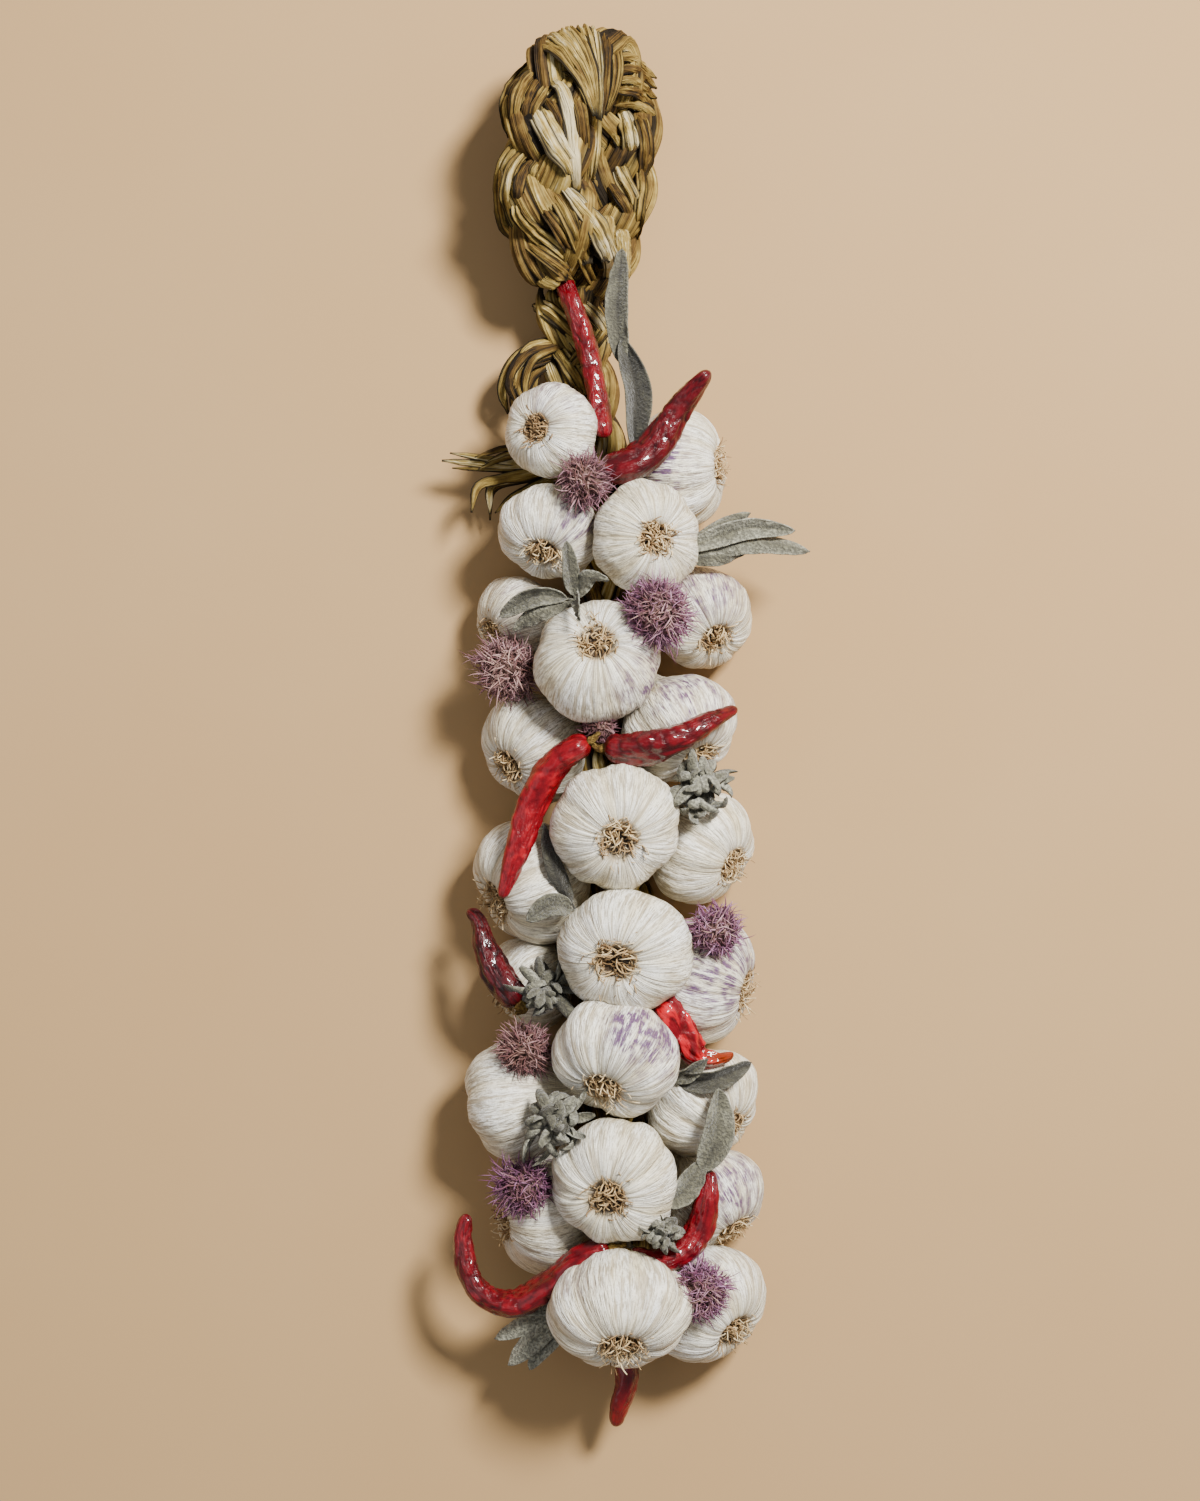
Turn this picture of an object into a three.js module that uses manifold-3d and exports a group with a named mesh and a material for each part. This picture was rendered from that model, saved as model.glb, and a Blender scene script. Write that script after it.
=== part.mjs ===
// A garlic braid: garlic bulbs hung by their dry stalks on a plait of garlic leaves, with dried chillies,
// chive flower heads and sprigs of sage tied in between them. The top of the plait is folded into a loop
// for a hook. The braid lies on its back: X runs across it, +Y towards the loop, and +Z away from the
// surface that it lies on. Lengths are in millimetres.
import * as THREE from "three";
import { mergeVertices } from "three/addons/utils/BufferGeometryUtils.js";
import Module from "manifold-3d";

const wasm = await Module();
wasm.setup();

// ---------------------------------------------------------------- driving dimensions

const GAP = 0.3; // between two pieces that touch
const DETAIL = 0.2; // the smallest feature of a solid that is kept
const FLOOR = 0; // height of the surface that the braid lies on
const UP = new THREE.Vector3(0, 0, 1);
const ACROSS = new THREE.Vector3(1, 0, 0);

// The plait: three strands that cross over each other along a centre line. The loop's strands are whole.
// The stem's are pressed so tight that only its outside has their shape.
const STRANDS = 3;
const STEM = {
  name: "plait_stem",
  line: [[-27, 202, 14], [-22, 160, 12], [-15, 110, 11.5], [-8, 55, 11.5], [-6, 0, 11.5], [-6, -274, 11.5]],
  thick: 15.5, // of one strand
  swing: 9.5, // of a strand's middle to either side
  lift: 4.4, // of a strand's middle over and under the others
  turns: 6,
  sides: 12,
  steps: 48,
};
const LOOP = {
  name: "plait_loop",
  line: [
    [-27, 200, 14], [-14, 224, 12.5], [-7, 252, 12.5], [-8, 284, 14], [-18, 306, 30],
    [-32, 290, 46], [-37, 258, 48], [-34, 230, 44], [-27, 207, 33],
  ],
  thick: 13,
  wide: 19, // of one strand
  swing: 11.8,
  lift: 5.4,
  turns: 2.6,
  sides: 6,
  steps: 22,
};

// Garlic bulbs. at: the middle of the widest ring. r: its radius. root: the way the root plate faces.
// tall: the widest ring's length along Y as a share of its width. turn: of the first clove, in degrees.
const BULBS = [
  { at: [-36, 134, 46], r: 21.5, root: [-0.5, 0, 0.86], turn: 10 },
  { at: [26, 120, 24], r: 26.5, root: [0.96, 0, 0.2], turn: 50 },
  { at: [-36, 88, 40], r: 23.5, root: [-0.2, -0.7, 0.68], turn: 25 },
  { at: [8, 85, 55], r: 25, root: [0.28, -0.07, 0.95], turn: 5 },
  { at: [-52, 48, 20], r: 22, root: [-0.8, -0.35, 0.45], turn: 0 },
  { at: [34, 49, 22], r: 24.5, root: [0.4, -0.6, 0.7], turn: 40 },
  { at: [-14, 31, 56], r: 29, root: [-0.03, 0.42, 0.9], turn: 15 },
  { at: [-45, -10, 24], r: 26, root: [-0.67, -0.5, 0.55], turn: 30 },
  { at: [24, -2, 36], r: 27.5, root: [0.45, -0.72, 0.5], turn: 20 },
  { at: [-6, -45, 57], r: 29, root: [0.1, -0.3, 0.95], turn: 0 },
  { at: [36, -56, 24], r: 26.5, root: [0.75, -0.4, 0.5], turn: 35 },
  { at: [-47, -71, 27], r: 29.5, root: [-0.8, -0.4, 0.4], turn: 10 },
  { at: [-2, -100, 57], r: 31.5, root: [-0.25, -0.2, 0.94], tall: 0.87, turn: 45 },
  { at: [-47, -118, 20], r: 22, root: [-0.75, -0.55, 0.35], turn: 0 },
  { at: [37, -115, 27], r: 29.5, root: [0.93, -0.25, 0.2], turn: 15 },
  { at: [-7, -149, 57], r: 28.5, root: [-0.3, -0.68, 0.66], turn: 30 },
  { at: [-53, -170, 26], r: 28, root: [-0.85, -0.2, -0.35], turn: 5 },
  { at: [36, -173, 25], r: 27, root: [0.6, -0.55, 0.55], turn: 50 },
  { at: [-7, -203, 57], r: 29, root: [-0.2, -0.3, 0.93], turn: 20 },
  { at: [-42, -222, 25], r: 27.5, root: [-0.93, -0.1, 0.25], turn: 40 },
  { at: [40, -217, 23], r: 25, root: [0.53, -0.75, 0.4], turn: 0 },
  { at: [-4, -261, 59], r: 32, root: [0.03, -0.72, 0.69], tall: 0.86, turn: 10 },
  { at: [37, -264, 27], r: 29, root: [0.62, -0.55, 0.55], turn: 25 },
];
const CLOVES = 6;
const SIDES_PER_CLOVE = 2;
const CLOVE_DEPTH = 0.06; // of the crease between two cloves, as a share of the bulb's radius
// Half of the bulb's outline as [distance from the axis, height], from the root tuft to the neck, as
// shares of its radius. The last two points are the end of its stalk, which bends over into the plait.
const BULB_OUTLINE = [
  [0, 0.66], [0.42, 0.56], [0.8, 0.44], [1, 0.02], [0.82, -0.52], [0.28, -0.96], [0.2, -1.1], [0, -1.1],
];
const STALK_RADIUS = 4.5;
const STALK_RISE = 0.4; // how far up the plait a stalk goes in, as a share of the bulb's radius

// Dried chillies. line: points from the stalk's end to the tip. radii: along that line, evenly spaced.
const CHILLIES = [
  {
    line: [[-30, 205, 31], [-24, 188, 33], [-18, 170, 33], [-14, 150, 37], [-11, 131, 44]],
    radii: [3.5, 5, 5.5, 5, 4],
  },
  {
    line: [[-13, 116, 52], [-2, 117, 55], [9, 123, 55], [18, 136, 54], [28, 150, 57], [36, 159, 60]],
    radii: [6.5, 7.5, 7, 6, 5, 2.5],
  },
  {
    line: [[-18, -6, 60], [-31, -14, 56], [-42, -32, 53], [-50, -55, 55], [-57, -76, 55]],
    radii: [6, 7.5, 6.5, 5, 2],
  },
  {
    line: [[-11, -9, 60], [5, -9, 64], [23, -4, 67], [36, 3, 64], [48, 9, 58]],
    radii: [6, 7.5, 7, 5.5, 2],
  },
  {
    line: [[-49, -124, 46], [-59, -111, 44], [-65, -98, 41], [-68, -87, 38], [-73, -82, 37]],
    radii: [6, 6.5, 5.5, 3.8, 2.6],
  },
  {
    line: [[12, -123, 50], [18, -127, 50], [24, -138, 48], [31, -148, 46], [39, -149, 46], [47, -146, 48]],
    radii: [6, 7, 6.5, 5.5, 4, 1.6],
  },
  {
    line: [
      [-8, -233, 55], [-20, -237, 54], [-35, -249, 49], [-51, -259, 45],
      [-65, -256, 42], [-73, -244, 41], [-75, -230, 41], [-73, -219, 42],
    ],
    radii: [5, 6.5, 7, 7, 6.5, 5.5, 4.5, 2.4],
  },
  {
    line: [[0, -235, 56], [12, -238, 55], [23, -235, 53], [31, -225, 51], [35, -210, 53], [37, -198, 52]],
    radii: [4.5, 6, 6.5, 6, 5, 2],
  },
  {
    line: [[-3, -268, 22], [-1, -284, 26], [-1, -298, 27], [-4, -309, 26], [-6, -319, 24]],
    radii: [5.5, 6, 5.8, 4.6, 2.4],
  },
];
const CHILLI_SIDES = 6;
const CHILLI_STEPS = 8;

// Flower heads: middle and radius of each.
const FLOWERS = [
  { at: [-20, 110, 61], r: 12.5 },
  { at: [13, 51, 67], r: 16.5 },
  { at: [-55, 27, 40], r: 15 },
  { at: [39, -90, 54], r: 12.5 },
  { at: [-47, -145, 46], r: 13 },
  { at: [-47, -206, 50], r: 14 },
  { at: [32, -251, 56], r: 14 },
  { at: [-13, 1, 56], r: 8 },
];
const FLOWER_SPIKE = 0.1; // how far the uneven outline goes in and out, as a share of the radius

// Sage sprigs. Each leaf runs through its points and is width wide. A tuft of small curled leaves is one
// lump: at is its middle and size its half lengths.
const SPRIGS = [
  {
    name: "sage_top",
    leaves: [
      { line: [[0, 166, 43], [-5, 190, 44], [-3, 214, 41]], width: 11 },
      { line: [[4, 122, 37], [3, 133, 46], [7, 152, 45], [-1, 178, 42]], width: 14 },
    ],
  },
  {
    name: "sage_right",
    leaves: [
      { line: [[20, 78, 44], [40, 89, 45], [55, 97, 44]], width: 8 },
      { line: [[20, 78, 44], [52, 90, 46], [75, 89, 44]], width: 10 },
      { line: [[20, 78, 44], [58, 84, 44], [82, 80, 40]], width: 10 },
      { line: [[20, 78, 44], [42, 77, 44], [52, 79, 42]], width: 7 },
    ],
  },
  {
    name: "sage_middle",
    leaves: [
      { line: [[-24, 57, 58], [-27, 72, 66], [-28, 83, 67]], width: 8 },
      { line: [[-24, 57, 58], [-18, 66, 69], [-9, 65, 71]], width: 8 },
      { line: [[-24, 57, 58], [-23, 56, 72], [-22, 47, 80]], width: 8 },
      { line: [[-24, 57, 58], [-42, 59, 59], [-58, 50, 51]], width: 9 },
      { line: [[-24, 57, 58], [-38, 52, 60], [-52, 44, 51]], width: 8 },
    ],
  },
  { name: "sage_tuft_right", at: [31, -28, 55], size: [15, 18, 9] },
  {
    name: "sage_left",
    leaves: [
      { line: [[-24, -82, 49], [-32, -65, 57], [-38, -43, 53]], width: 11 },
      { line: [[-24, -82, 49], [-35, -79, 57], [-46, -86, 58]], width: 13 },
    ],
  },
  { name: "sage_tuft_left", at: [-37, -118, 46], size: [14, 15, 9] },
  {
    name: "sage_dark",
    leaves: [
      { line: [[17, -158, 43], [37, -157, 52], [55, -150, 49]], width: 14 },
      { line: [[17, -158, 43], [27, -154, 51], [35, -148, 54]], width: 10 },
    ],
  },
  { name: "sage_tuft_middle", at: [-33, -176, 63], size: [17, 17, 9] },
  {
    name: "sage_big_leaf",
    leaves: [
      { line: [[31, -202, 52], [39, -183, 56], [40, -163, 55]], width: 14 },
      { line: [[14, -214, 60], [24, -207, 56], [34, -194, 53]], width: 11 },
    ],
  },
  { name: "sage_tuft_low", at: [14, -224, 65], size: [10, 8, 7] },
  {
    name: "sage_bottom",
    leaves: [
      { line: [[-23, -262, 40], [-46, -262, 38], [-62, -265, 36]], width: 9 },
      { line: [[-23, -262, 40], [-44, -269, 38], [-61, -277, 34]], width: 9 },
      { line: [[-23, -262, 40], [-42, -275, 40], [-55, -288, 34]], width: 11 },
      { line: [[-23, -262, 40], [-36, -277, 38], [-45, -290, 34]], width: 9 },
    ],
  },
];
const LEAF_FLATNESS = 0.26;
const LEAF_SIDES = 4;
const LEAF_STEPS = 3;
const TUFT_UNEVENNESS = 0.16;

// Loose ends of garlic leaf that stick out beside the plait, each a narrow band that tapers to a tip.
const WISPS = [
  {
    name: "leaf_ends",
    bands: [
      { line: [[-26, 123, 15], [-52, 128, 24], [-69, 123, 27]], width: 6 },
      { line: [[-26, 122, 15], [-56, 121, 22], [-82, 123, 25]], width: 6 },
      { line: [[-26, 121, 15], [-53, 113, 21], [-65, 108, 22], [-67, 94, 20]], width: 8 },
      { line: [[-26, 120, 15], [-50, 106, 17], [-57, 98, 16]], width: 7 },
    ],
  },
  {
    name: "leaf_bend",
    bands: [
      { line: [[-26, 178, 16], [-46, 171, 24], [-53, 156, 24], [-48, 145, 21]], width: 9 },
      { line: [[-26, 174, 13], [-42, 166, 19], [-46, 152, 19], [-41, 143, 17]], width: 9 },
    ],
  },
];
const WISP_FLATNESS = 0.35;

// ---------------------------------------------------------------- solids and geometries

function solidOf(geometry) {
  const bare = geometry.clone();
  for (const name of ["normal", "uv"]) bare.deleteAttribute(name);
  const merged = mergeVertices(bare, 1e-3);
  return new wasm.Manifold(
    new wasm.Mesh({
      numProp: 3,
      vertProperties: merged.getAttribute("position").array,
      triVerts: new Uint32Array(merged.index.array),
    }),
  );
}

function geometryOf(solid) {
  const mesh = solid.getMesh();
  const positions = new THREE.BufferAttribute(new Float32Array(mesh.vertProperties), 3);
  const geometry = new THREE.BufferGeometry().setAttribute("position", positions);
  geometry.setIndex(new THREE.BufferAttribute(mesh.triVerts, 1));
  geometry.computeVertexNormals();
  return geometry;
}

function joined(solids) {
  return solids.reduce((whole, next) => whole.add(next));
}

function boxesMeet(a, b) {
  const [p, q] = [a.boundingBox(), b.boundingBox()];
  return [0, 1, 2].every((k) => p.min[k] <= q.max[k] && q.min[k] <= p.max[k]);
}

// What is left of a solid once its neighbours have pressed into it. Crumbs that a cut leaves are dropped.
function pressedBy(solid, neighbours) {
  const near = neighbours.filter((other) => boxesMeet(solid, other));
  const left = near.reduce((whole, other) => whole.subtract(other), solid);
  const bodies = left.decompose().sort((a, b) => b.volume() - a.volume());
  return bodies[0].simplify(DETAIL);
}

function onFloor(solid) {
  return solid.trimByPlane([0, 0, 1], FLOOR);
}

function vectors(points) {
  return points.map(([x, y, z]) => new THREE.Vector3(x, y, z));
}

function smoothLine(points) {
  return new THREE.CatmullRomCurve3(vectors(points), false, "centripetal");
}

// A value between the evenly spaced values of a list, at share t of its length.
function along(values, t) {
  const place = t * (values.length - 1);
  const first = Math.min(Math.floor(place), values.length - 2);
  return THREE.MathUtils.lerp(values[first], values[first + 1], place - first);
}

// A closed tube along a curve, round or flattened, whose radius follows radiusAt(t). face is the way that
// its flat side looks. A grown tube is larger all round, and at both ends.
function tube(curve, radiusAt, { sides, steps, flatness = 1, face = UP, grow = 0 }) {
  const geometry = new THREE.CylinderGeometry(1, 1, 1, sides, steps);
  const position = geometry.getAttribute("position");
  const v = new THREE.Vector3();
  for (let i = 0; i < position.count; i++) {
    v.fromBufferAttribute(position, i);
    const t = 0.5 - v.y;
    const end = Math.round(t) === t ? 2 * t - 1 : 0;
    const tangent = curve.getTangentAt(t);
    const wide = new THREE.Vector3().crossVectors(face, tangent).normalize();
    const thick = new THREE.Vector3().crossVectors(tangent, wide);
    const place = curve.getPointAt(t).addScaledVector(tangent, end * grow);
    place.addScaledVector(wide, v.x * (radiusAt(t) + grow));
    place.addScaledVector(thick, v.z * (radiusAt(t) * flatness + grow));
    position.setXYZ(i, place.x, place.y, place.z);
  }
  return geometry;
}

// A repeatable number from -1 to 1 for a direction, which makes an outline uneven.
function unevenness(v) {
  const wave = Math.sin(v.x * 12.9 + v.y * 78.2 + v.z * 37.7) * 437.5;
  return 2 * (wave - Math.floor(wave)) - 1;
}

// ---------------------------------------------------------------- the plait

// Where strand k is beside and above the plait's middle, at share t of the plait's length.
function strandOffset(spec, k, t) {
  const phase = 2 * Math.PI * (spec.turns * t + k / STRANDS);
  return [spec.swing * Math.sin(phase), spec.lift * Math.sin(2 * phase)];
}

// The plait's middle at share t of its length, the way across it and the way out of its face.
function plaitFrame(middle, t) {
  const tangent = middle.getTangentAt(t);
  const wide = ACROSS.clone().addScaledVector(tangent, -ACROSS.dot(tangent)).normalize();
  const thick = new THREE.Vector3().crossVectors(wide, tangent);
  return { place: middle.getPointAt(t), wide, thick, tangent };
}

class StrandCurve extends THREE.Curve {
  constructor(spec, strand) {
    super();
    this.spec = spec;
    this.strand = strand;
    this.middle = smoothLine(spec.line);
  }

  getPoint(t, target = new THREE.Vector3()) {
    const { place, wide, thick } = plaitFrame(this.middle, t);
    const [beside, above] = strandOffset(this.spec, this.strand, t);
    return target.copy(place).addScaledVector(wide, beside).addScaledVector(thick, above);
  }
}

function loop(spec, grow = 0) {
  const flatness = spec.wide / spec.thick;
  const shape = { sides: spec.sides, steps: spec.steps, flatness, face: ACROSS, grow };
  const strands = [...Array(STRANDS).keys()].map((k) => {
    return solidOf(tube(new StrandCurve(spec, k), () => spec.thick / 2, shape));
  });
  return onFloor(joined(strands));
}

// How far the three strands reach from the plait's middle in the direction (x, y) of its cross-section.
function strandReach(spec, t, x, y) {
  const r = spec.thick / 2;
  const reaches = [...Array(STRANDS).keys()].map((k) => {
    const [beside, above] = strandOffset(spec, k, t);
    const away = Math.abs(beside * y - above * x);
    return away < r ? beside * x + above * y + Math.sqrt(r * r - away * away) : 0;
  });
  return Math.max(r, ...reaches);
}

function stem(spec, grow = 0) {
  const middle = smoothLine(spec.line);
  const geometry = new THREE.CylinderGeometry(1, 1, 1, spec.sides, spec.steps);
  const position = geometry.getAttribute("position");
  for (let i = 0; i < position.count; i++) {
    const [x, t, y] = [position.getX(i), 0.5 - position.getY(i), -position.getZ(i)];
    const end = Math.round(t) === t ? 2 * t - 1 : 0;
    const { place, wide, thick, tangent } = plaitFrame(middle, t);
    const reach = x || y ? strandReach(spec, t, x, y) + grow : 0;
    place.addScaledVector(wide, x * reach);
    place.addScaledVector(thick, y * reach);
    place.addScaledVector(tangent, end * grow);
    position.setXYZ(i, place.x, place.y, place.z);
  }
  return onFloor(solidOf(geometry));
}

// ---------------------------------------------------------------- garlic bulbs

// How far the cloves push the skin out at an angle round the axis, from 0 in a crease to 1 on a clove.
function cloveBulge(angle, turn) {
  const place = (angle / (2 * Math.PI) + 1) * CLOVES + turn / 45;
  return Math.sin(Math.PI * (place % 1));
}

// The middle of the plait at a distance along Y.
function plaitMiddle(y) {
  const [top, bottom] = [STEM.line.at(0)[1], STEM.line.at(-1)[1]];
  return smoothLine(STEM.line).getPointAt((top - y) / (top - bottom));
}

function bulb({ at, r, root, tall = 1, turn }, grow = 0) {
  const facing = new THREE.Vector3(...root).normalize();
  const wide = ACROSS.clone().addScaledVector(facing, -ACROSS.dot(facing)).normalize();
  const high = new THREE.Vector3().crossVectors(facing, wide);
  const middle = new THREE.Vector3(...at);
  const neck = middle.clone().addScaledVector(facing, -r);
  const stalkEnd = plaitMiddle(at[1] + STALK_RISE * r);
  const stalk = stalkEnd.clone().sub(neck).normalize();
  const stalkWide = wide.clone().addScaledVector(stalk, -wide.dot(stalk)).normalize();
  const stalkHigh = new THREE.Vector3().crossVectors(stalkWide, stalk);

  const outline = BULB_OUTLINE.map(([out, up]) => new THREE.Vector2(out, -up));
  const geometry = new THREE.LatheGeometry(outline, CLOVES * SIDES_PER_CLOVE);
  const position = geometry.getAttribute("position");
  for (let i = 0; i < position.count; i++) {
    const [x, up, z] = [position.getX(i), -position.getY(i), position.getZ(i)];
    const out = Math.hypot(x, z);
    const isStalk = i % outline.length >= outline.length - 2;
    const place = isStalk ? stalkEnd.clone().addScaledVector(stalk, grow) : middle.clone();
    if (isStalk) {
      const size = out > 0 ? (STALK_RADIUS + grow) / out : 0;
      place.addScaledVector(stalkWide, x * size).addScaledVector(stalkHigh, z * size);
    } else {
      const crease = CLOVE_DEPTH * (1 - cloveBulge(Math.atan2(z, x), turn));
      const size = (r + grow) * (1 - crease * THREE.MathUtils.smoothstep(out, 0.4, 0.8));
      place.addScaledVector(wide, x * size).addScaledVector(high, z * size * tall);
      place.addScaledVector(facing, up * (r + grow));
    }
    position.setXYZ(i, place.x, place.y, place.z);
  }
  return onFloor(solidOf(geometry));
}

// ---------------------------------------------------------------- chillies, flowers, sage and loose leaf

function chilli({ line, radii }, grow = 0) {
  const radiusAt = (t) => along(radii, t);
  return solidOf(tube(smoothLine(line), radiusAt, { sides: CHILLI_SIDES, steps: CHILLI_STEPS, grow }));
}

function lump(at, size, roughness, grow = 0) {
  const geometry = new THREE.IcosahedronGeometry(1, 1);
  const position = geometry.getAttribute("position");
  const v = new THREE.Vector3();
  for (let i = 0; i < position.count; i++) {
    v.fromBufferAttribute(position, i);
    const rounded = v.clone().multiplyScalar(100).round();
    const reach = 1 - roughness * (0.5 + 0.5 * unevenness(rounded));
    const [x, y, z] = [0, 1, 2].map((k) => at[k] + v.getComponent(k) * reach * (size[k] + grow));
    position.setXYZ(i, x, y, z);
  }
  return solidOf(geometry);
}

function flower({ at, r }, grow = 0) {
  return lump(at, [r, r, r], 2 * FLOWER_SPIKE, grow);
}

function leaf({ line, width }) {
  const widthAt = (t) => (width / 2) * Math.max(0.28, Math.sin(Math.PI * (0.12 + 0.82 * t)));
  return solidOf(
    tube(smoothLine(line), widthAt, { sides: LEAF_SIDES, steps: LEAF_STEPS, flatness: LEAF_FLATNESS }),
  );
}

function sprig({ leaves, at, size }) {
  return leaves ? joined(leaves.map(leaf)) : lump(at, size, TUFT_UNEVENNESS);
}

function wisp({ bands }) {
  const made = bands.map(({ line, width }) => {
    const widthAt = (t) => (width / 2) * (1 - 0.75 * t);
    return solidOf(tube(smoothLine(line), widthAt, { sides: 4, steps: 5, flatness: WISP_FLATNESS }));
  });
  return joined(made);
}

// ---------------------------------------------------------------- materials

function matter(color, roughness) {
  return new THREE.MeshStandardMaterial({ color, roughness, metalness: 0 });
}

const MATERIALS = {
  plait: matter("#9c8350", 0.8),
  garlic: matter("#e9e2d6", 0.55),
  chilli: matter("#a3121a", 0.25),
  flower: matter("#85587f", 0.85),
  sage: matter("#878a7c", 0.95),
};

// ---------------------------------------------------------------- the braid

const garlicBraid = new THREE.Group();
const made = []; // every finished solid, a little larger than it is, for the next ones to keep clear of

function add(name, solid, material, grown) {
  const mesh = new THREE.Mesh(geometryOf(solid), material);
  mesh.name = name;
  garlicBraid.add(mesh);
  made.push(grown);
}

function numbered(name, index) {
  return `${name}_${String(index + 1).padStart(2, "0")}`;
}

add(STEM.name, stem(STEM).simplify(DETAIL), MATERIALS.plait, stem(STEM, GAP + DETAIL / 2));
add(LOOP.name, pressedBy(loop(LOOP), made), MATERIALS.plait, loop(LOOP, GAP + DETAIL / 2));
BULBS.forEach((spec, i) => {
  add(numbered("garlic", i), pressedBy(bulb(spec), made), MATERIALS.garlic, bulb(spec, GAP + DETAIL / 2));
});
CHILLIES.forEach((spec, i) => {
  add(numbered("chilli", i), pressedBy(chilli(spec), made), MATERIALS.chilli, chilli(spec, GAP + DETAIL / 2));
});
FLOWERS.forEach((spec, i) => {
  add(numbered("flower", i), pressedBy(flower(spec), made), MATERIALS.flower, flower(spec, GAP + DETAIL / 2));
});
for (const spec of WISPS) {
  const solid = pressedBy(wisp(spec), made);
  add(spec.name, solid, MATERIALS.plait, solid);
}
for (const spec of SPRIGS) {
  const solid = pressedBy(sprig(spec), made);
  add(spec.name, solid, MATERIALS.sage, solid);
}

export default garlicBraid;
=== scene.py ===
# %% [markdown]
# # A garlic braid
# Garlic bulbs hang by their dry stalks on a plait of garlic leaves that ends in a loop. Dried chillies,
# flower heads and sprigs of sage are pushed in between. The part already holds the size and place of every
# piece as a plain solid. This lesson grows the real surface of each piece over those solids.

import math

import bmesh
import bpy
import numpy as np
from mathutils.bvhtree import BVHTree
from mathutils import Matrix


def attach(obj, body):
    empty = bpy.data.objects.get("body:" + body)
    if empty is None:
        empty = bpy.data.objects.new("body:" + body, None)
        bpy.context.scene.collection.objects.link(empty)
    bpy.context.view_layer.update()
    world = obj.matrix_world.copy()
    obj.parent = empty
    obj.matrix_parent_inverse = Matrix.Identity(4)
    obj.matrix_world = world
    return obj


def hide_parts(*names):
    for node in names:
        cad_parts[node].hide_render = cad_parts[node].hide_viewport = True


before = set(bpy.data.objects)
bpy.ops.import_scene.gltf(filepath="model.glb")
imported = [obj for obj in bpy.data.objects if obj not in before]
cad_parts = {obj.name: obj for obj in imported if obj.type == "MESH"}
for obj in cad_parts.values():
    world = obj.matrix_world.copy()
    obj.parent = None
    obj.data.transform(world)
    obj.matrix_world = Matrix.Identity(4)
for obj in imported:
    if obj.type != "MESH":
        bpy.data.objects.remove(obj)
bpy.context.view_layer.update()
MM = 0.001  # every size below is in millimetres, and becomes metres when a piece is finished

# %% [markdown]
# ## The places of the pieces
# Every piece sits where its solid sits, so the lines and middles below are the ones that the part is made
# from: a middle and a radius for round things, and a few points for things that follow a line.

# %% The plait
STRANDS = 3
STEM = {
    "line": [
        (-27, 202, 14), (-22, 160, 12), (-15, 110, 11.5), (-8, 55, 11.5), (-6, 0, 11.5), (-6, -274, 11.5),
    ],
    "wide": 15.5, "thick": 15.5, "swing": 9.5, "lift": 4.4, "turns": 6,
}
LOOP = {
    "line": [
        (-27, 200, 14), (-14, 224, 12.5), (-7, 252, 12.5), (-8, 284, 14), (-18, 306, 30),
        (-32, 290, 46), (-37, 258, 48), (-34, 230, 44), (-27, 207, 33),
    ],
    "wide": 19, "thick": 13, "swing": 11.8, "lift": 5.4, "turns": 2.6,
}

# %% The garlic bulbs
# Middle, radius, the way the root plate faces, the first clove's turn in degrees, and the height of the
# bulb as a share of its width where it isn't round.
BULBS = [
    ((-36, 134, 46), 21.5, (-0.5, 0, 0.86), 10), ((26, 120, 24), 26.5, (0.96, 0, 0.2), 50),
    ((-36, 88, 40), 23.5, (-0.2, -0.7, 0.68), 25), ((8, 85, 55), 25, (0.28, -0.07, 0.95), 5),
    ((-52, 48, 20), 22, (-0.8, -0.35, 0.45), 0), ((34, 49, 22), 24.5, (0.4, -0.6, 0.7), 40),
    ((-14, 31, 56), 29, (-0.03, 0.42, 0.9), 15), ((-45, -10, 24), 26, (-0.67, -0.5, 0.55), 30),
    ((24, -2, 36), 27.5, (0.45, -0.72, 0.5), 20), ((-6, -45, 57), 29, (0.1, -0.3, 0.95), 0),
    ((36, -56, 24), 26.5, (0.75, -0.4, 0.5), 35), ((-47, -71, 27), 29.5, (-0.8, -0.4, 0.4), 10),
    ((-2, -100, 57), 31.5, (-0.25, -0.2, 0.94), 45, 0.87), ((-47, -118, 20), 22, (-0.75, -0.55, 0.35), 0),
    ((37, -115, 27), 29.5, (0.93, -0.25, 0.2), 15), ((-7, -149, 57), 28.5, (-0.3, -0.68, 0.66), 30),
    ((-53, -170, 26), 28, (-0.85, -0.2, -0.35), 5), ((36, -173, 25), 27, (0.6, -0.55, 0.55), 50),
    ((-7, -203, 57), 29, (-0.2, -0.3, 0.93), 20), ((-42, -222, 25), 27.5, (-0.93, -0.1, 0.25), 40),
    ((40, -217, 23), 25, (0.53, -0.75, 0.4), 0), ((-4, -261, 59), 32, (0.03, -0.72, 0.69), 10, 0.86),
    ((37, -264, 27), 29, (0.62, -0.55, 0.55), 25),
]
STALK_RISE = 0.4  # a stalk joins the plait this share of the radius above the bulb's middle

# Purple on the skin: (number of the bulb, x and y of the patch, its radius, its strength).
BLUSHES = [
    (1, -34, 150, 14, 0.35), (2, 14, 118, 13, 0.9), (3, -24, 92, 11, 0.6), (6, 38, 64, 16, 0.5),
    (7, 7, 20, 13, 0.55), (9, 28, 16, 20, 0.5), (15, 42, -108, 26, 0.6), (16, 1, -133, 9, 1.5),
    (16, 12, -141, 13, 0.75),
    (21, 46, -208, 17, 0.6), (20, -40, -198, 14, 0.3), (17, -50, -150, 12, 0.25), (5, -50, 58, 14, 0.25),
    (22, -24, -244, 9, 0.25), (23, 32, -246, 14, 0.3),
]

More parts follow.
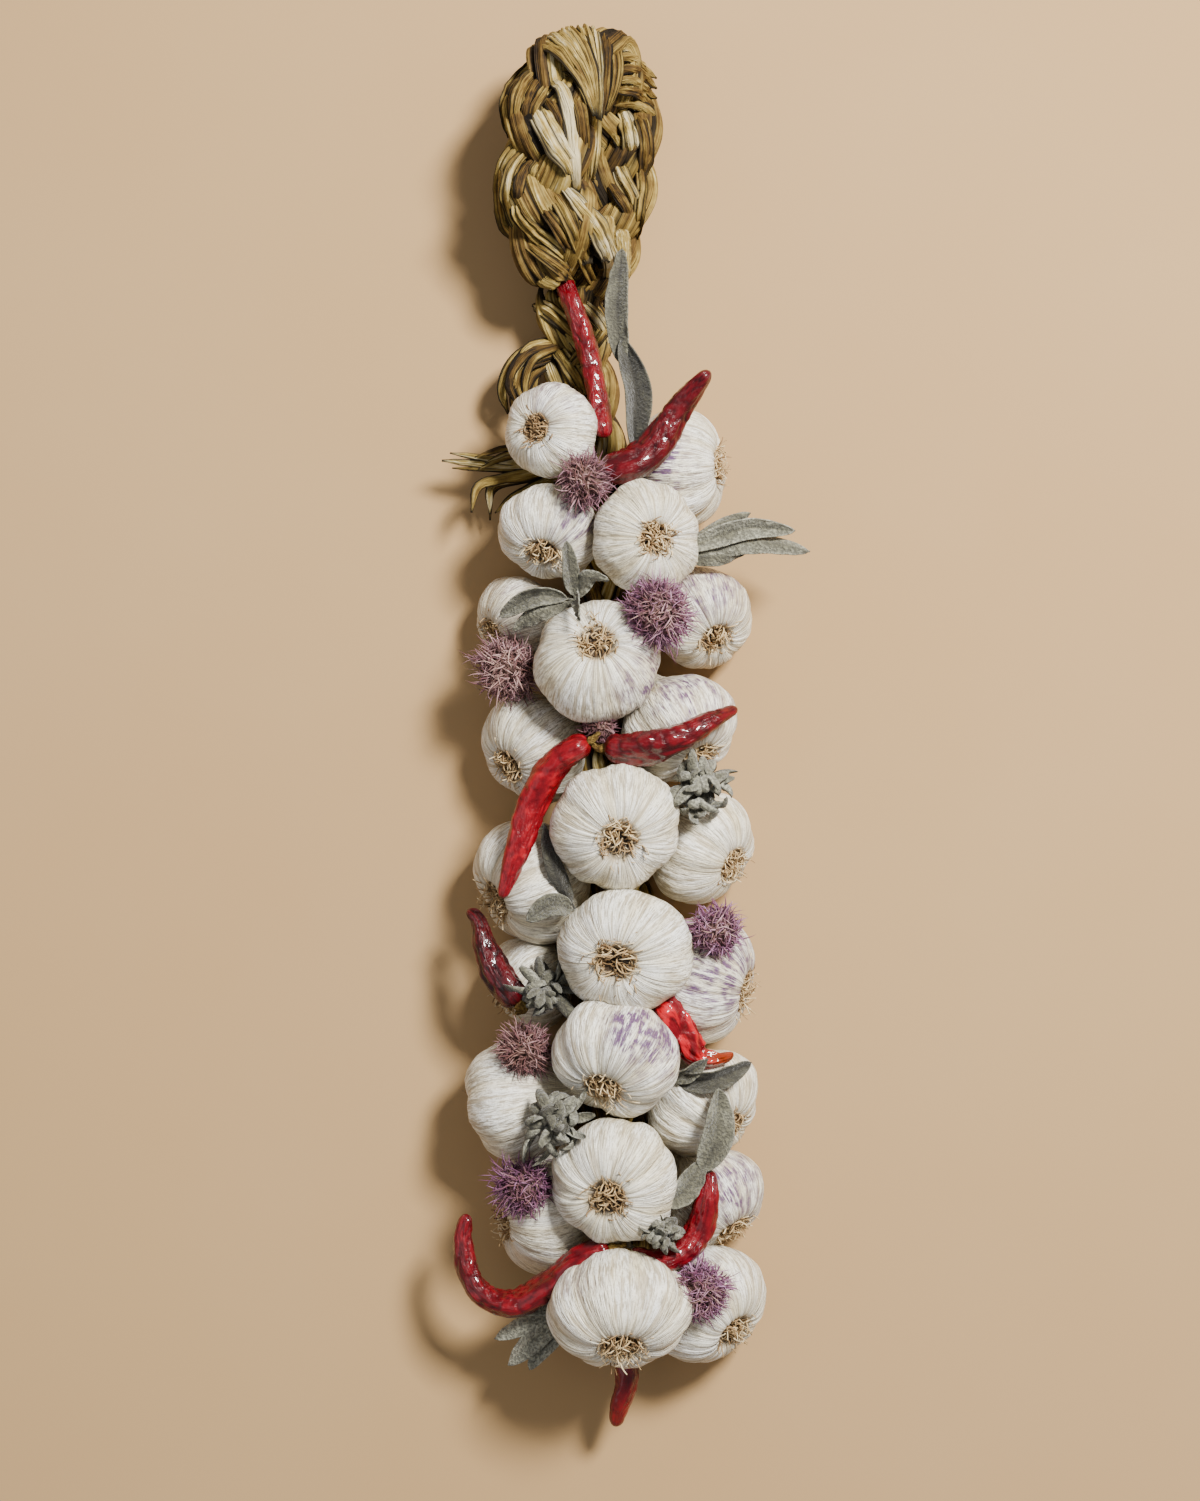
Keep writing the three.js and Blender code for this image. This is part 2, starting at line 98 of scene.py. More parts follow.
# %% The chillies
# The line of each from the stalk to the tip, and its radii at even steps along that line.
CHILLIES = [
    ([(-30, 205, 31), (-24, 188, 33), (-18, 170, 33), (-14, 150, 37), (-11, 131, 44)], [3.5, 5, 5.5, 5, 4]),
    ([(-13, 116, 52), (-2, 117, 55), (9, 123, 55), (18, 136, 54), (28, 150, 57), (36, 159, 60)],
     [6.5, 7.5, 7, 6, 5, 2.5]),
    ([(-18, -6, 60), (-31, -14, 56), (-42, -32, 53), (-50, -55, 55), (-57, -76, 55)], [6, 7.5, 6.5, 5, 2]),
    ([(-11, -9, 60), (5, -9, 64), (23, -4, 67), (36, 3, 64), (48, 9, 58)], [6, 7.5, 7, 5.5, 2]),
    ([(-49, -124, 46), (-59, -111, 44), (-65, -98, 41), (-68, -87, 38), (-73, -82, 37)],
     [6, 6.5, 5.5, 3.8, 2.6]),
    ([(12, -123, 50), (18, -127, 50), (24, -138, 48), (31, -148, 46), (39, -149, 46), (47, -146, 48)],
     [6, 7, 6.5, 5.5, 4, 1.6]),
    ([(-8, -233, 55), (-20, -237, 54), (-35, -249, 49), (-51, -259, 45), (-65, -256, 42), (-73, -244, 41),
      (-75, -230, 41), (-73, -219, 42)], [5, 6.5, 7, 7, 6.5, 5.5, 4.5, 2.4]),
    ([(0, -235, 56), (12, -238, 55), (23, -235, 53), (31, -225, 51), (35, -210, 53), (37, -198, 52)],
     [4.5, 6, 6.5, 6, 5, 2]),
    ([(-3, -268, 22), (-1, -284, 26), (-1, -298, 27), (-4, -309, 26), (-6, -319, 24)],
     [5.5, 6, 5.8, 4.6, 2.4]),
]
# How bright each chilli's red is, how deep its wrinkles are, and how orange its tip is.
CHILLI_LOOKS = [
    (0.62, 0.9, 0), (0.36, 1.0, 0), (0.76, 0.8, 0), (0.5, 1.0, 0), (0.25, 1.1, 0), (1.05, 2.3, 1.0),
    (0.6, 1.1, 0), (0.62, 0.9, 0), (0.6, 0.7, 0.2),
]

# %% The flower heads and the sage
# Flower heads: middle, radius, how purple the tips are (from rosy brown to violet) and how pale they are.
FLOWERS = [
    ((-20, 110, 61), 12.5, 0.45, 0.7), ((13, 51, 67), 16.5, 0.75, 0.85), ((-55, 27, 40), 15, 0.35, 1.0),
    ((39, -90, 54), 12.5, 0.9, 0.95), ((-47, -145, 46), 13, 0.3, 0.6), ((-47, -206, 50), 14, 1.0, 0.6),
    ((32, -251, 56), 14, 1.0, 0.95), ((-13, 1, 56), 8, 0.4, 0.5),
]
# Sprigs: the line and width of each leaf, and how pale it is.
SPRIGS = {
    "sage_top": [([(-2, 158, 42), (-5, 186, 45), (-3, 217, 41)], 13, 0.42),
                 ([(4, 122, 37), (2, 134, 46), (3, 152, 47), (-3, 176, 43)], 17, 0.14)],
    "sage_right": [([(20, 78, 44), (40, 89, 45), (55, 97, 44)], 11, 0.55),
                   ([(20, 78, 44), (52, 90, 46), (75, 89, 44)], 13, 0.8),
                   ([(20, 78, 44), (58, 84, 44), (82, 80, 40)], 13, 0.75),
                   ([(20, 78, 44), (42, 77, 44), (52, 79, 42)], 10, 0.5)],
    "sage_middle": [([(-24, 57, 58), (-27, 72, 66), (-28, 83, 67)], 10, 0.5),
                    ([(-24, 57, 58), (-18, 66, 69), (-9, 65, 71)], 10, 0.7),
                    ([(-24, 57, 58), (-23, 56, 72), (-22, 47, 80)], 8, 0.6),
                    ([(-24, 57, 58), (-42, 59, 59), (-58, 50, 51)], 12, 0.55),
                    ([(-24, 57, 58), (-38, 52, 60), (-52, 44, 51)], 11, 0.75)],
    "sage_left": [([(-24, -82, 49), (-32, -65, 57), (-38, -43, 53)], 11, 0.2),
                  ([(-24, -82, 49), (-35, -79, 57), (-46, -86, 58)], 13, 0.45)],
    "sage_dark": [([(17, -158, 43), (37, -157, 52), (55, -150, 49)], 14, 0.2),
                  ([(17, -158, 43), (27, -154, 51), (35, -148, 54)], 10, 0.35)],
    "sage_big_leaf": [([(31, -202, 52), (39, -183, 56), (40, -161, 55)], 18, 0.6),
                      ([(14, -214, 60), (24, -207, 56), (34, -194, 53)], 14, 0.5)],
    # The bottom leaves are paler than the rest, partly their own colour and partly painted light against the
    # shadow they lie in.
    "sage_bottom": [([(-23, -262, 40), (-46, -260, 38), (-62, -265, 36)], 12, 0.95),
                    ([(-23, -262, 40), (-44, -268, 40), (-61, -277, 34)], 12, 1.05),
                    ([(-23, -262, 40), (-42, -275, 42), (-55, -289, 34)], 14, 1.15),
                    ([(-23, -262, 40), (-36, -277, 38), (-45, -291, 34)], 12, 1.0)],
}
# Tufts of small curled leaves: middle, half lengths and how pale they are.
TUFTS = {
    "sage_tuft_right": ((31, -28, 55), (15, 18, 9), 0.85),
    "sage_tuft_left": ((-37, -118, 46), (14, 15, 9), 0.6),
    "sage_tuft_middle": ((-33, -176, 63), (17, 17, 9), 0.75),
    "sage_tuft_low": ((14, -224, 65), (10, 8, 7), 0.65),
}
# Loose ends of garlic leaf: the line and width of each band.
WISPS = {
    "leaf_ends": [
        ([(-26, 123, 15), (-52, 128, 24), (-69, 123, 27)], 6),
        ([(-26, 122, 15), (-56, 121, 22), (-82, 123, 25)], 6),
        ([(-26, 121, 15), (-53, 113, 21), (-65, 108, 22), (-67, 94, 20)], 8),
        ([(-26, 120, 15), (-50, 106, 17), (-57, 98, 16)], 7),
    ],
    "leaf_bend": [
        ([(-26, 178, 16), (-46, 171, 24), (-53, 156, 24), (-48, 145, 21)], 9),
        ([(-26, 174, 13), (-42, 166, 19), (-46, 152, 19), (-41, 143, 17)], 9),
    ],
}
print(len(BULBS), "bulbs,", len(CHILLIES), "chillies,", len(FLOWERS), "flower heads")

# %% [markdown]
# ## Tools for dried plants
# Everything here grew along a line: a leaf, a root, a petal, a chilli. Two ways of making cover them all.
# A grid of faces can be rolled into a tube or cupped into a leaf along a line, which suits the large pieces.
# Roots and petals come in hundreds, so one small thread is made, copied, and each copy curled on its own.
# The vertices are moved as whole arrays, which keeps the script quick.


# %% Lines and directions
def unit(ways):
    """The same directions with a length of one."""
    ways = np.asarray(ways, float)
    return ways / np.linalg.norm(ways, axis=-1, keepdims=True)


def smooth_line(points, count):
    """count places at even steps along a smooth line through the points."""
    p = np.array(points, float)
    p = np.vstack([2 * p[0] - p[1], p, 2 * p[-1] - p[-2]])
    knots = np.concatenate([[0], np.cumsum(np.linalg.norm(np.diff(p, axis=0), axis=1) ** 0.5)])
    places = []
    for i in range(1, len(p) - 2):
        t = np.linspace(knots[i], knots[i + 1], 40)[:, None]
        k = knots[i - 1:i + 3]
        a = [((k[j + 1] - t) * p[i - 1 + j] + (t - k[j]) * p[i + j]) / (k[j + 1] - k[j]) for j in range(3)]
        b = [((k[j + 2] - t) * a[j] + (t - k[j]) * a[j + 1]) / (k[j + 2] - k[j]) for j in range(2)]
        places.append(((k[2] - t) * b[0] + (t - k[1]) * b[1]) / (k[2] - k[1]))
    places = np.vstack(places)
    run = np.concatenate([[0], np.cumsum(np.linalg.norm(np.diff(places, axis=0), axis=1))])
    steps = np.linspace(0, run[-1], count)
    return np.stack([np.interp(steps, run, places[:, j]) for j in range(3)], axis=1)


def frames(line, across=(1, 0, 0)):
    """At each place of a line: the way along it, the way to its side and the way out of its face."""
    ahead = unit(np.gradient(line, axis=0))
    sides, side = [], np.array(across, float)
    for way in ahead:
        side = unit(side - way * side.dot(way))
        sides.append(side)
    sides = np.array(sides)
    return ahead, sides, np.cross(sides, ahead)


def rolled_over(side, face, roll):
    """The side and face ways, turned about the line by an angle for each place."""
    roll = roll[:, None]
    return side * np.cos(roll) + face * np.sin(roll), face * np.cos(roll) - side * np.sin(roll)


# %% Soft steps and unevenness
def between(values, share):
    """A smooth value at each share (0 to 1) of the way through a few values."""
    places = np.linspace(0, 1, len(values))
    table = np.interp(np.linspace(0, 1, 200), places, values)
    soft = np.convolve(np.pad(table, 12, mode="edge"), np.ones(25) / 25, mode="valid")
    return np.interp(share, np.linspace(0, 1, 200), soft)


def ease(x, start, end):
    """0 before start and 1 after end, with a soft step between them."""
    t = np.clip((x - start) / (end - start), 0, 1)
    return t * t * (3 - 2 * t)


WAVE_LAYERS = 14


def waves(places, size, seed):
    """Unevenness of about -1 to 1 at each place. Its bumps are size wide, which may differ by direction."""
    rng = np.random.default_rng(seed)
    scaled = np.asarray(places, float) / np.asarray(size, float)
    total = 0
    for _ in range(WAVE_LAYERS):
        way = unit(rng.normal(size=3)) * rng.uniform(0.6, 1.4)
        total = total + np.sin(scaled @ way * 2 * math.pi + rng.uniform(0, 2 * math.pi))
    return total / math.sqrt(WAVE_LAYERS)


# %% Meshes
def corners(mesh):
    """The vertices of a mesh, one row each."""
    flat = np.empty(len(mesh.vertices) * 3)
    mesh.vertices.foreach_get("co", flat)
    return flat.reshape(-1, 3)


def mesh_of(bm):
    """The mesh that a finished bmesh holds."""
    mesh = bpy.data.meshes.new("work")
    bm.to_mesh(mesh)
    bm.free()
    return mesh


def move_to(mesh, places, **notes):
    """Puts the vertices at their places, and keeps a value or a direction for each of them by name."""
    mesh.vertices.foreach_set("co", np.ascontiguousarray(places, float).ravel())
    for name, values in notes.items():
        values = np.asarray(values, float)
        is_number = values.ndim == 1
        layer = mesh.attributes.new(name, "FLOAT" if is_number else "FLOAT_VECTOR", "POINT")
        layer.data.foreach_set("value" if is_number else "vector", values.ravel())
    mesh.update()
    return mesh


def unit_sheet(across, along):
    """A flat grid, and the share of its width (u) and of its length (v) at each vertex."""
    bm = bmesh.new()
    bmesh.ops.create_grid(bm, x_segments=across, y_segments=along, size=0.5)
    mesh = mesh_of(bm)
    places = corners(mesh) + 0.5
    return mesh, places[:, 0], places[:, 1]


# %% Closed surfaces
WELD = 1e-4  # vertices closer than this become one


def closed(mesh, wall=0):
    """Welds seams and tips, turns the faces outward, and gives an open sheet a second side and a rim."""
    bm = bmesh.new()
    bm.from_mesh(mesh)
    bmesh.ops.remove_doubles(bm, verts=bm.verts, dist=WELD)
    bmesh.ops.recalc_face_normals(bm, faces=bm.faces)
    if wall:
        bm.normal_update()
        outward = bm.verts.layers.float_vector.new("outward")
        for v in bm.verts:
            v[outward] = v.normal
        second = bmesh.ops.extrude_face_region(bm, geom=bm.faces[:], use_keep_orig=True)
        for v in second["geom"]:
            if isinstance(v, bmesh.types.BMVert):
                v.co -= v[outward] * wall
        bm.verts.layers.float_vector.remove(outward)
        bmesh.ops.recalc_face_normals(bm, faces=bm.faces)
    return mesh_of(bm)


# %% A finished piece
FLOOR_EASE = 1.5  # height over the floor below which a piece is squeezed


def finish_piece(name, meshes, material, replaced=()):
    """Joins meshes into one piece of the braid, in metres, which rides on the body."""
    bm = bmesh.new()
    for mesh in meshes:
        bm.from_mesh(mesh)
        bpy.data.meshes.remove(mesh)
    for v in bm.verts:
        if v.co.z < FLOOR_EASE:  # what would reach under the floor is pressed flat just above it
            v.co.z = FLOOR_EASE * math.exp(min(v.co.z / FLOOR_EASE, 1) - 1)
    bmesh.ops.scale(bm, vec=(MM, MM, MM), verts=bm.verts)
    made = mesh_of(bm)
    made.name = name
    made.shade_smooth()
    made.materials.append(material)
    piece = bpy.data.objects.new(name, made)
    bpy.context.scene.collection.objects.link(piece)
    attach(piece, "root")
    if replaced:
        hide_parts(*replaced)
    made.calc_loop_triangles()
    print(f"{name}: {len(made.loop_triangles)} triangles")
    return piece


# %% Threads
def thread(sides, rings, outline):
    """A closed thread from z 0 to 1. outline(x, y, z) gives a vertex of the unit tube its true x and y."""
    bm = bmesh.new()
    bmesh.ops.create_cone(bm, cap_ends=True, segments=sides, radius1=1, radius2=1, depth=1)
    bmesh.ops.translate(bm, verts=bm.verts, vec=(0, 0, 0.5))
    for k in range(1, rings):
        whole = bm.verts[:] + bm.edges[:] + bm.faces[:]
        bmesh.ops.bisect_plane(bm, geom=whole, plane_co=(0, 0, k / rings), plane_no=(0, 0, 1))
    mesh = mesh_of(bm)
    x, y, z = corners(mesh).T
    return move_to(mesh, np.stack([*outline(x, y, z), z], axis=1)), rings


# %% Many curled copies
def grown(template, starts, ways, lengths, widths, curl, twist, rng, rim=0.0, **notes):
    """One copy of a thread for each start. It sets off along its way, and bends by curl and twist.

    rim makes the two edges of each copy that much paler than its middle.
    """
    mesh, rings = template
    count = len(starts)
    bm = bmesh.new()
    for _ in range(count):
        bm.from_mesh(mesh)
    many = mesh_of(bm)
    shape = corners(mesh)
    row = np.rint(shape[:, 2] * rings).astype(int)

    ways = unit(ways)
    side = unit(np.cross(ways, unit(rng.normal(size=(count, 3)))))
    other = np.cross(ways, side)
    share = np.linspace(0, 1, rings + 1)[None, :, None]
    bend = np.asarray(curl)[:, None, None] * share
    turn = np.asarray(twist)[:, None, None] * share
    lean = side[:, None] * np.cos(turn) + other[:, None] * np.sin(turn)
    ahead = ways[:, None] * np.cos(bend) + lean * np.sin(bend)
    steps = ahead * np.asarray(lengths)[:, None, None] / rings
    line = np.asarray(starts)[:, None] + np.cumsum(steps, axis=1) - steps[:, :1]
    flank = unit(np.cross(ahead, lean * np.cos(bend) - ways[:, None] * np.sin(bend)))
    out = np.cross(flank, ahead)

    width = np.asarray(widths)[:, None, None]
    places = line[:, row] + width * (flank[:, row] * shape[:, None, 0].T[..., None])
    places = places + width * (out[:, row] * shape[:, None, 1].T[..., None])
    marks = {k: np.repeat(np.asarray(v), len(shape)) for k, v in notes.items()}
    marks["along"] = np.tile(shape[:, 2], count)
    edge = np.abs(shape[:, 0]) / np.abs(shape[:, 0]).max()
    marks["tone"] = marks["tone"] + rim * np.tile(edge ** 2, count)
    return move_to(many, places.reshape(-1, 3), **marks)


def around(facing, angle, tilt):
    """Directions that lean by tilt from facing, at an angle round it."""
    facing = unit(facing)
    side = unit(np.cross(facing, (0.31, 0.87, 0.39)))
    other = np.cross(facing, side)
    angle, tilt = np.asarray(angle)[:, None], np.asarray(tilt)[:, None]
    return facing * np.cos(tilt) + (side * np.cos(angle) + other * np.sin(angle)) * np.sin(tilt)


# %% [markdown]
# ## Finishes
# Dried plants are never one colour. Each has fibres that run one way and blotches from drying, and the
# creases are darkened as painted shade. A small helper places a node and links it, so that a finish reads
# from the surface to the shader.
# Two effects come back in several finishes, so they are node groups: blotches over the whole piece, and
# fibres that follow the grain kept at each vertex.


# %% Node helpers
def node(tree, kind, inputs=None, **settings):
    """Places a node, with its settings, and links or sets its inputs."""
    made = tree.nodes.new(kind)
    for key, value in settings.items():
        setattr(made, key, value)
    for key, value in (inputs or {}).items():
        if isinstance(value, bpy.types.NodeSocket):
            tree.links.new(value, made.inputs[key])
        else:
            made.inputs[key].default_value = value
    return made


def blend_colours(tree, share, first, second):
    """first with second laid over it by share."""
    first, second = [(*shade, 1.0) if isinstance(shade, tuple) else shade for shade in (first, second)]
    return node(tree, "ShaderNodeMix", {0: share, 6: first, 7: second}, data_type="RGBA").outputs[2]


def spread(tree, value, low, high, to_low=0.0, to_high=1.0):
    """The value stretched from low..high to to_low..to_high, and cut off at both ends."""
    limits = {"Value": value, 1: low, 2: high, 3: to_low, 4: to_high}
    return node(tree, "ShaderNodeMapRange", limits, clamp=True).outputs[0]


def calculate(tree, what, first, second):
    return node(tree, "ShaderNodeMath", {0: first, 1: second}, operation=what).outputs[0]


# %% Colours by mask
def tinted(tree, base, mask, limits, shade):
    """base with a shade laid over it where the mask, stretched by its limits, is high."""
    return blend_colours(tree, spread(tree, mask, *limits), base, shade)


def shifted(tree, value, mask, low, high):
    """The value moved by low where the mask is 0, and by high where it is 1."""
    return calculate(tree, "ADD", value, spread(tree, mask, 0.0, 1.0, low, high))


def colours_along(tree, value, stops):
    """A colour for each value, from a list of (place, colour)."""
    ramp = node(tree, "ShaderNodeValToRGB", {0: value})
    elements = ramp.color_ramp.elements
    for place, _ in stops[1:-1]:
        elements.new(place)
    for element, (place, shade) in zip(elements, stops):
        element.position, element.color = place, (*shade, 1.0)
    return ramp.outputs[0]


# %% Patterns and new finishes
def kept(tree, name, direction=False):
    """A value that was kept at each vertex."""
    made = node(tree, "ShaderNodeAttribute", attribute_name=name)
    return made.outputs["Vector" if direction else "Fac"]


def noise(tree, place, scale, detail):
    inputs = {"Vector": place, "Scale": scale, "Detail": detail, "Roughness": 0.55}
    return node(tree, "ShaderNodeTexNoise", inputs).outputs[0]


def paint(tree, shader, shade, socket="Base Color"):
    tree.links.new(shade, shader.inputs[socket])


def new_finish(name, **fixed):
    """A material, its node tree and its shader, with the values that are the same all over."""
    material = bpy.data.materials.new(name)
    material.use_nodes = True
    tree = material.node_tree
    shader = tree.nodes["Principled BSDF"]
    for key, value in fixed.items():
        shader.inputs[key.replace("_", " ")].default_value = value
    return material, tree, shader


def bump(tree, shader, height, distance, strength):
    inputs = {"Height": height, "Distance": distance * MM, "Strength": strength}
    paint(tree, shader, node(tree, "ShaderNodeBump", inputs).outputs[0], "Normal")


# %% Shared effects
def effect(name, **inputs):
    """An empty node group with named number inputs and one output, Mask."""
    group = bpy.data.node_groups.new(name, "ShaderNodeTree")
    for label, value in inputs.items():
        group.interface.new_socket(label, in_out="INPUT", socket_type="NodeSocketFloat").default_value = value
    group.interface.new_socket("Mask", in_out="OUTPUT", socket_type="NodeSocketFloat")
    return group, group.nodes.new("NodeGroupInput"), group.nodes.new("NodeGroupOutput")


def put_out(group, inside, out, pattern):
    """Puts a pattern out as the group's Mask, with its contrast changed about its middle."""
    strong = calculate(group, "SUBTRACT", pattern, 0.5)
    strong = calculate(group, "MULTIPLY", strong, inside.outputs["Contrast"])
    strong = calculate(group, "ADD", strong, 0.5)
    group.links.new(node(group, "ShaderNodeClamp", {"Value": strong}).outputs[0], out.inputs["Mask"])


def place_effect(tree, group, **values):
    return node(tree, "ShaderNodeGroup", values, node_tree=group).outputs["Mask"]


# Blotches: soft patches of about the given size in mm, from 0 to 1.
blotches, inside, out = effect("blotches", Size=10.0, Contrast=1.0)
place = node(blotches, "ShaderNodeTexCoord").outputs["Object"]
scale = calculate(blotches, "DIVIDE", 1 / MM, inside.outputs["Size"])
put_out(blotches, inside, out, noise(blotches, place, scale, 4.0))

# Fibres: lines that run with the grain kept at each vertex, from 0 to 1.
fibres, inside, out = effect("fibres", Fineness=1.0, Contrast=1.0)
grain = kept(fibres, "grain", direction=True)
put_out(fibres, inside, out, noise(fibres, grain, inside.outputs["Fineness"], 3.0))
print("effects:", [group.name for group in (blotches, fibres)])

# %% [markdown]
# ### Garlic skin
# The skin is paper: cream white, with beige lines from the root plate to the neck, a darker, warmer beige
# towards the neck and in the creases between cloves, where it is partly painted shade, a few grey specks
# and, on some bulbs, purple that breaks up into the same lines.

# %% Garlic skin
garlic_skin, tree, shader = new_finish("garlic skin", Roughness=0.5)
broad = place_effect(tree, blotches, Size=16.0, Contrast=3.0)
ragged = place_effect(tree, blotches, Size=6.0, Contrast=5.0)
specks = place_effect(tree, blotches, Size=0.9, Contrast=6.0)
folds = place_effect(tree, fibres, Fineness=0.8, Contrast=4.0)
fine = place_effect(tree, fibres, Fineness=2.2, Contrast=4.0)
finer = place_effect(tree, fibres, Fineness=7.5, Contrast=4.5)
purple_lines = spread(tree, finer, 0.3, 0.8, -0.3, 0.4)
purple_lines = calculate(tree, "ADD", spread(tree, fine, 0.2, 0.6, 0.35, 1.2), purple_lines)
purple = calculate(tree, "MULTIPLY", kept(tree, "blush"), purple_lines)
purple = calculate(tree, "MULTIPLY", purple, spread(tree, ragged, 0.0, 1.0, 0.15, 1.3))
plate = kept(tree, "plate")
skin = blend_colours(tree, broad, (0.88, 0.88, 0.85), (0.87, 0.83, 0.68))
for mask, limits, shade in (
    # beige towards the neck, and in the creases between cloves, where it is partly painted shade
    (kept(tree, "warmth"), (0.0, 1.0, 0.0, 0.75), (0.64, 0.52, 0.27)),
    (folds, (0.55, 1.0, 0.0, 0.45), (0.60, 0.50, 0.29)),
    (fine, (0.62, 0.95, 0.0, 0.7), (0.36, 0.28, 0.16)),
    (finer, (0.55, 0.95, 0.0, 0.75), (0.30, 0.25, 0.17)),
    (purple, (0.0, 0.75), (0.115, 0.055, 0.13)),
    (specks, (0.9, 1.0, 0.0, 0.35), (0.33, 0.27, 0.20)),
    (plate, (0.1, 0.5, 0.0, 0.55), (0.48, 0.36, 0.19)),
    (plate, (0.5, 0.9), (0.07, 0.045, 0.025)),
):
    skin = tinted(tree, skin, mask, limits, shade)
paint(tree, shader, skin)
paint(tree, shader, spread(tree, fine, 0.2, 0.9, 0.34, 0.55), "Roughness")
height = calculate(tree, "ADD", fine, calculate(tree, "MULTIPLY", finer, 0.5))
height = calculate(tree, "SUBTRACT", calculate(tree, "MULTIPLY", folds, 1.2), height)
bump(tree, shader, height, 0.4, 0.9)
print("finish:", garlic_skin.name)

# %% Roots
root_fibre, tree, shader = new_finish("dry roots", Roughness=0.85)
shades = [
    (0.0, (0.05, 0.026, 0.011)), (0.4, (0.24, 0.14, 0.058)),
    (0.8, (0.50, 0.35, 0.17)), (1.0, (0.70, 0.56, 0.34)),
]
tip = calculate(tree, "MULTIPLY", kept(tree, "along"), 0.25)
dry = colours_along(tree, calculate(tree, "ADD", kept(tree, "tone"), tip), shades)
paint(tree, shader, dry)
print("finish:", root_fibre.name)

# %% [markdown]
# ### Chilli, flower, sage and plait
# A dried chilli keeps its gloss, so its skin has a clear coat over a deep red, darkened in the creases as
# painted shade.
# Petals are brown at the foot and purple at the tip. Sage is covered in grey hairs over small pebbles.
# The plait's leaves run from straw to dark brown, each with its own tone and painted shade where it tucks in.

# %% Chilli
coat = {"Specular_IOR_Level": 0.15, "Coat_Weight": 0.6, "Coat_Roughness": 0.07}
chilli_skin, tree, shader = new_finish("chilli skin", **coat)
patches = place_effect(tree, blotches, Size=7.0, Contrast=2.4)
bright = shifted(tree, kept(tree, "tone"), patches, -0.14, 0.14)
# painted shade: the red is darkened in the troughs of the chilli's folds
bright = shifted(tree, bright, kept(tree, "crease"), 0.06, -0.4)
reds = [(0.0, (0.014, 0.0005, 0.0015)), (0.45, (0.085, 0.0006, 0.0035)),
        (0.8, (0.18, 0.001, 0.006)), (1.0, (0.42, 0.004, 0.012))]
red = colours_along(tree, bright, reds)
red = blend_colours(tree, kept(tree, "orange"), red, (0.27, 0.03, 0.004))
paint(tree, shader, red)
paint(tree, shader, spread(tree, patches, 0.0, 1.0, 0.22, 0.45), "Roughness")
wrinkles = place_effect(tree, fibres, Fineness=1.6, Contrast=2.0)
puckers = place_effect(tree, blotches, Size=2.2, Contrast=2.0)
puckers = calculate(tree, "MULTIPLY", puckers, 0.5)
bump(tree, shader, calculate(tree, "ADD", wrinkles, puckers), 0.6, 0.8)
print("finish:", chilli_skin.name)

# %% Flower
petal, tree, shader = new_finish("dry petals", Roughness=0.75)
violet = blend_colours(tree, kept(tree, "purple"), (0.15, 0.06, 0.045), (0.13, 0.032, 0.085))
tips = blend_colours(tree, kept(tree, "purple"), (0.52, 0.34, 0.26), (0.44, 0.22, 0.38))
pale = blend_colours(tree, spread(tree, kept(tree, "tone"), 0.1, 0.9), violet, tips)
foot = spread(tree, kept(tree, "along"), 0.1, 0.65, 0.85, 0.0)
paint(tree, shader, blend_colours(tree, foot, pale, (0.085, 0.045, 0.03)))
print("finish:", petal.name)

# %% Sage
sage_leaf, tree, shader = new_finish("sage leaf", Roughness=0.92, Sheen_Weight=0.25, Sheen_Roughness=0.5)
pebbles = place_effect(tree, blotches, Size=1.3, Contrast=4.5)
patches = place_effect(tree, blotches, Size=8.0, Contrast=2.2)
pale = shifted(tree, kept(tree, "tone"), patches, -0.2, 0.2)
greens = [(0.0, (0.020, 0.017, 0.010)), (0.5, (0.140, 0.132, 0.085)), (1.0, (0.38, 0.37, 0.28))]
green = colours_along(tree, pale, greens)
green = tinted(tree, green, pebbles, (0.2, 0.8, 0.6, 0.0), (0.035, 0.032, 0.024))
paint(tree, shader, green)
bump(tree, shader, pebbles, 0.5, 1.0)
print("finish:", sage_leaf.name)

# %% Plait
garlic_leaf, tree, shader = new_finish("dry garlic leaf", Roughness=0.75, Specular_IOR_Level=0.2)
coarse = place_effect(tree, fibres, Fineness=1.0, Contrast=3.0)
fine = place_effect(tree, fibres, Fineness=3.2, Contrast=3.0)
dried = place_effect(tree, blotches, Size=6.0, Contrast=3.0)
shade = kept(tree, "tone")
for mask, reach in ((coarse, 0.17), (fine, 0.17), (dried, 0.12)):
    shade = shifted(tree, shade, mask, -reach, reach)
leaf_shades = [
    (0.0, (0.016, 0.009, 0.004)), (0.3, (0.098, 0.052, 0.010)), (0.55, (0.21, 0.135, 0.031)),
    (0.8, (0.36, 0.258, 0.072)), (1.0, (0.55, 0.46, 0.26)),
]
leaf = colours_along(tree, shade, leaf_shades)
# painted shade: near black on leaf edges, pleat troughs, ends that tuck in, and the strands' cores
leaf = tinted(tree, leaf, kept(tree, "crease"), (0.15, 0.75, 0.0, 0.97), (0.010, 0.006, 0.002))
paint(tree, shader, leaf)
bump(tree, shader, calculate(tree, "ADD", coarse, calculate(tree, "MULTIPLY", fine, 0.6)), 0.8, 1.0)
print("finish:", garlic_leaf.name)

# %% [markdown]
# ## The plait
# Three strands cross over each other. Each strand is a bundle of folded leaves round a core painted near
# black as shade. One tube with creases pressed into it looks like rope, so here every leaf is a cupped sheet
# of its own that runs along the strand, dives in at both ends, and has its edges tucked between its
# neighbours.


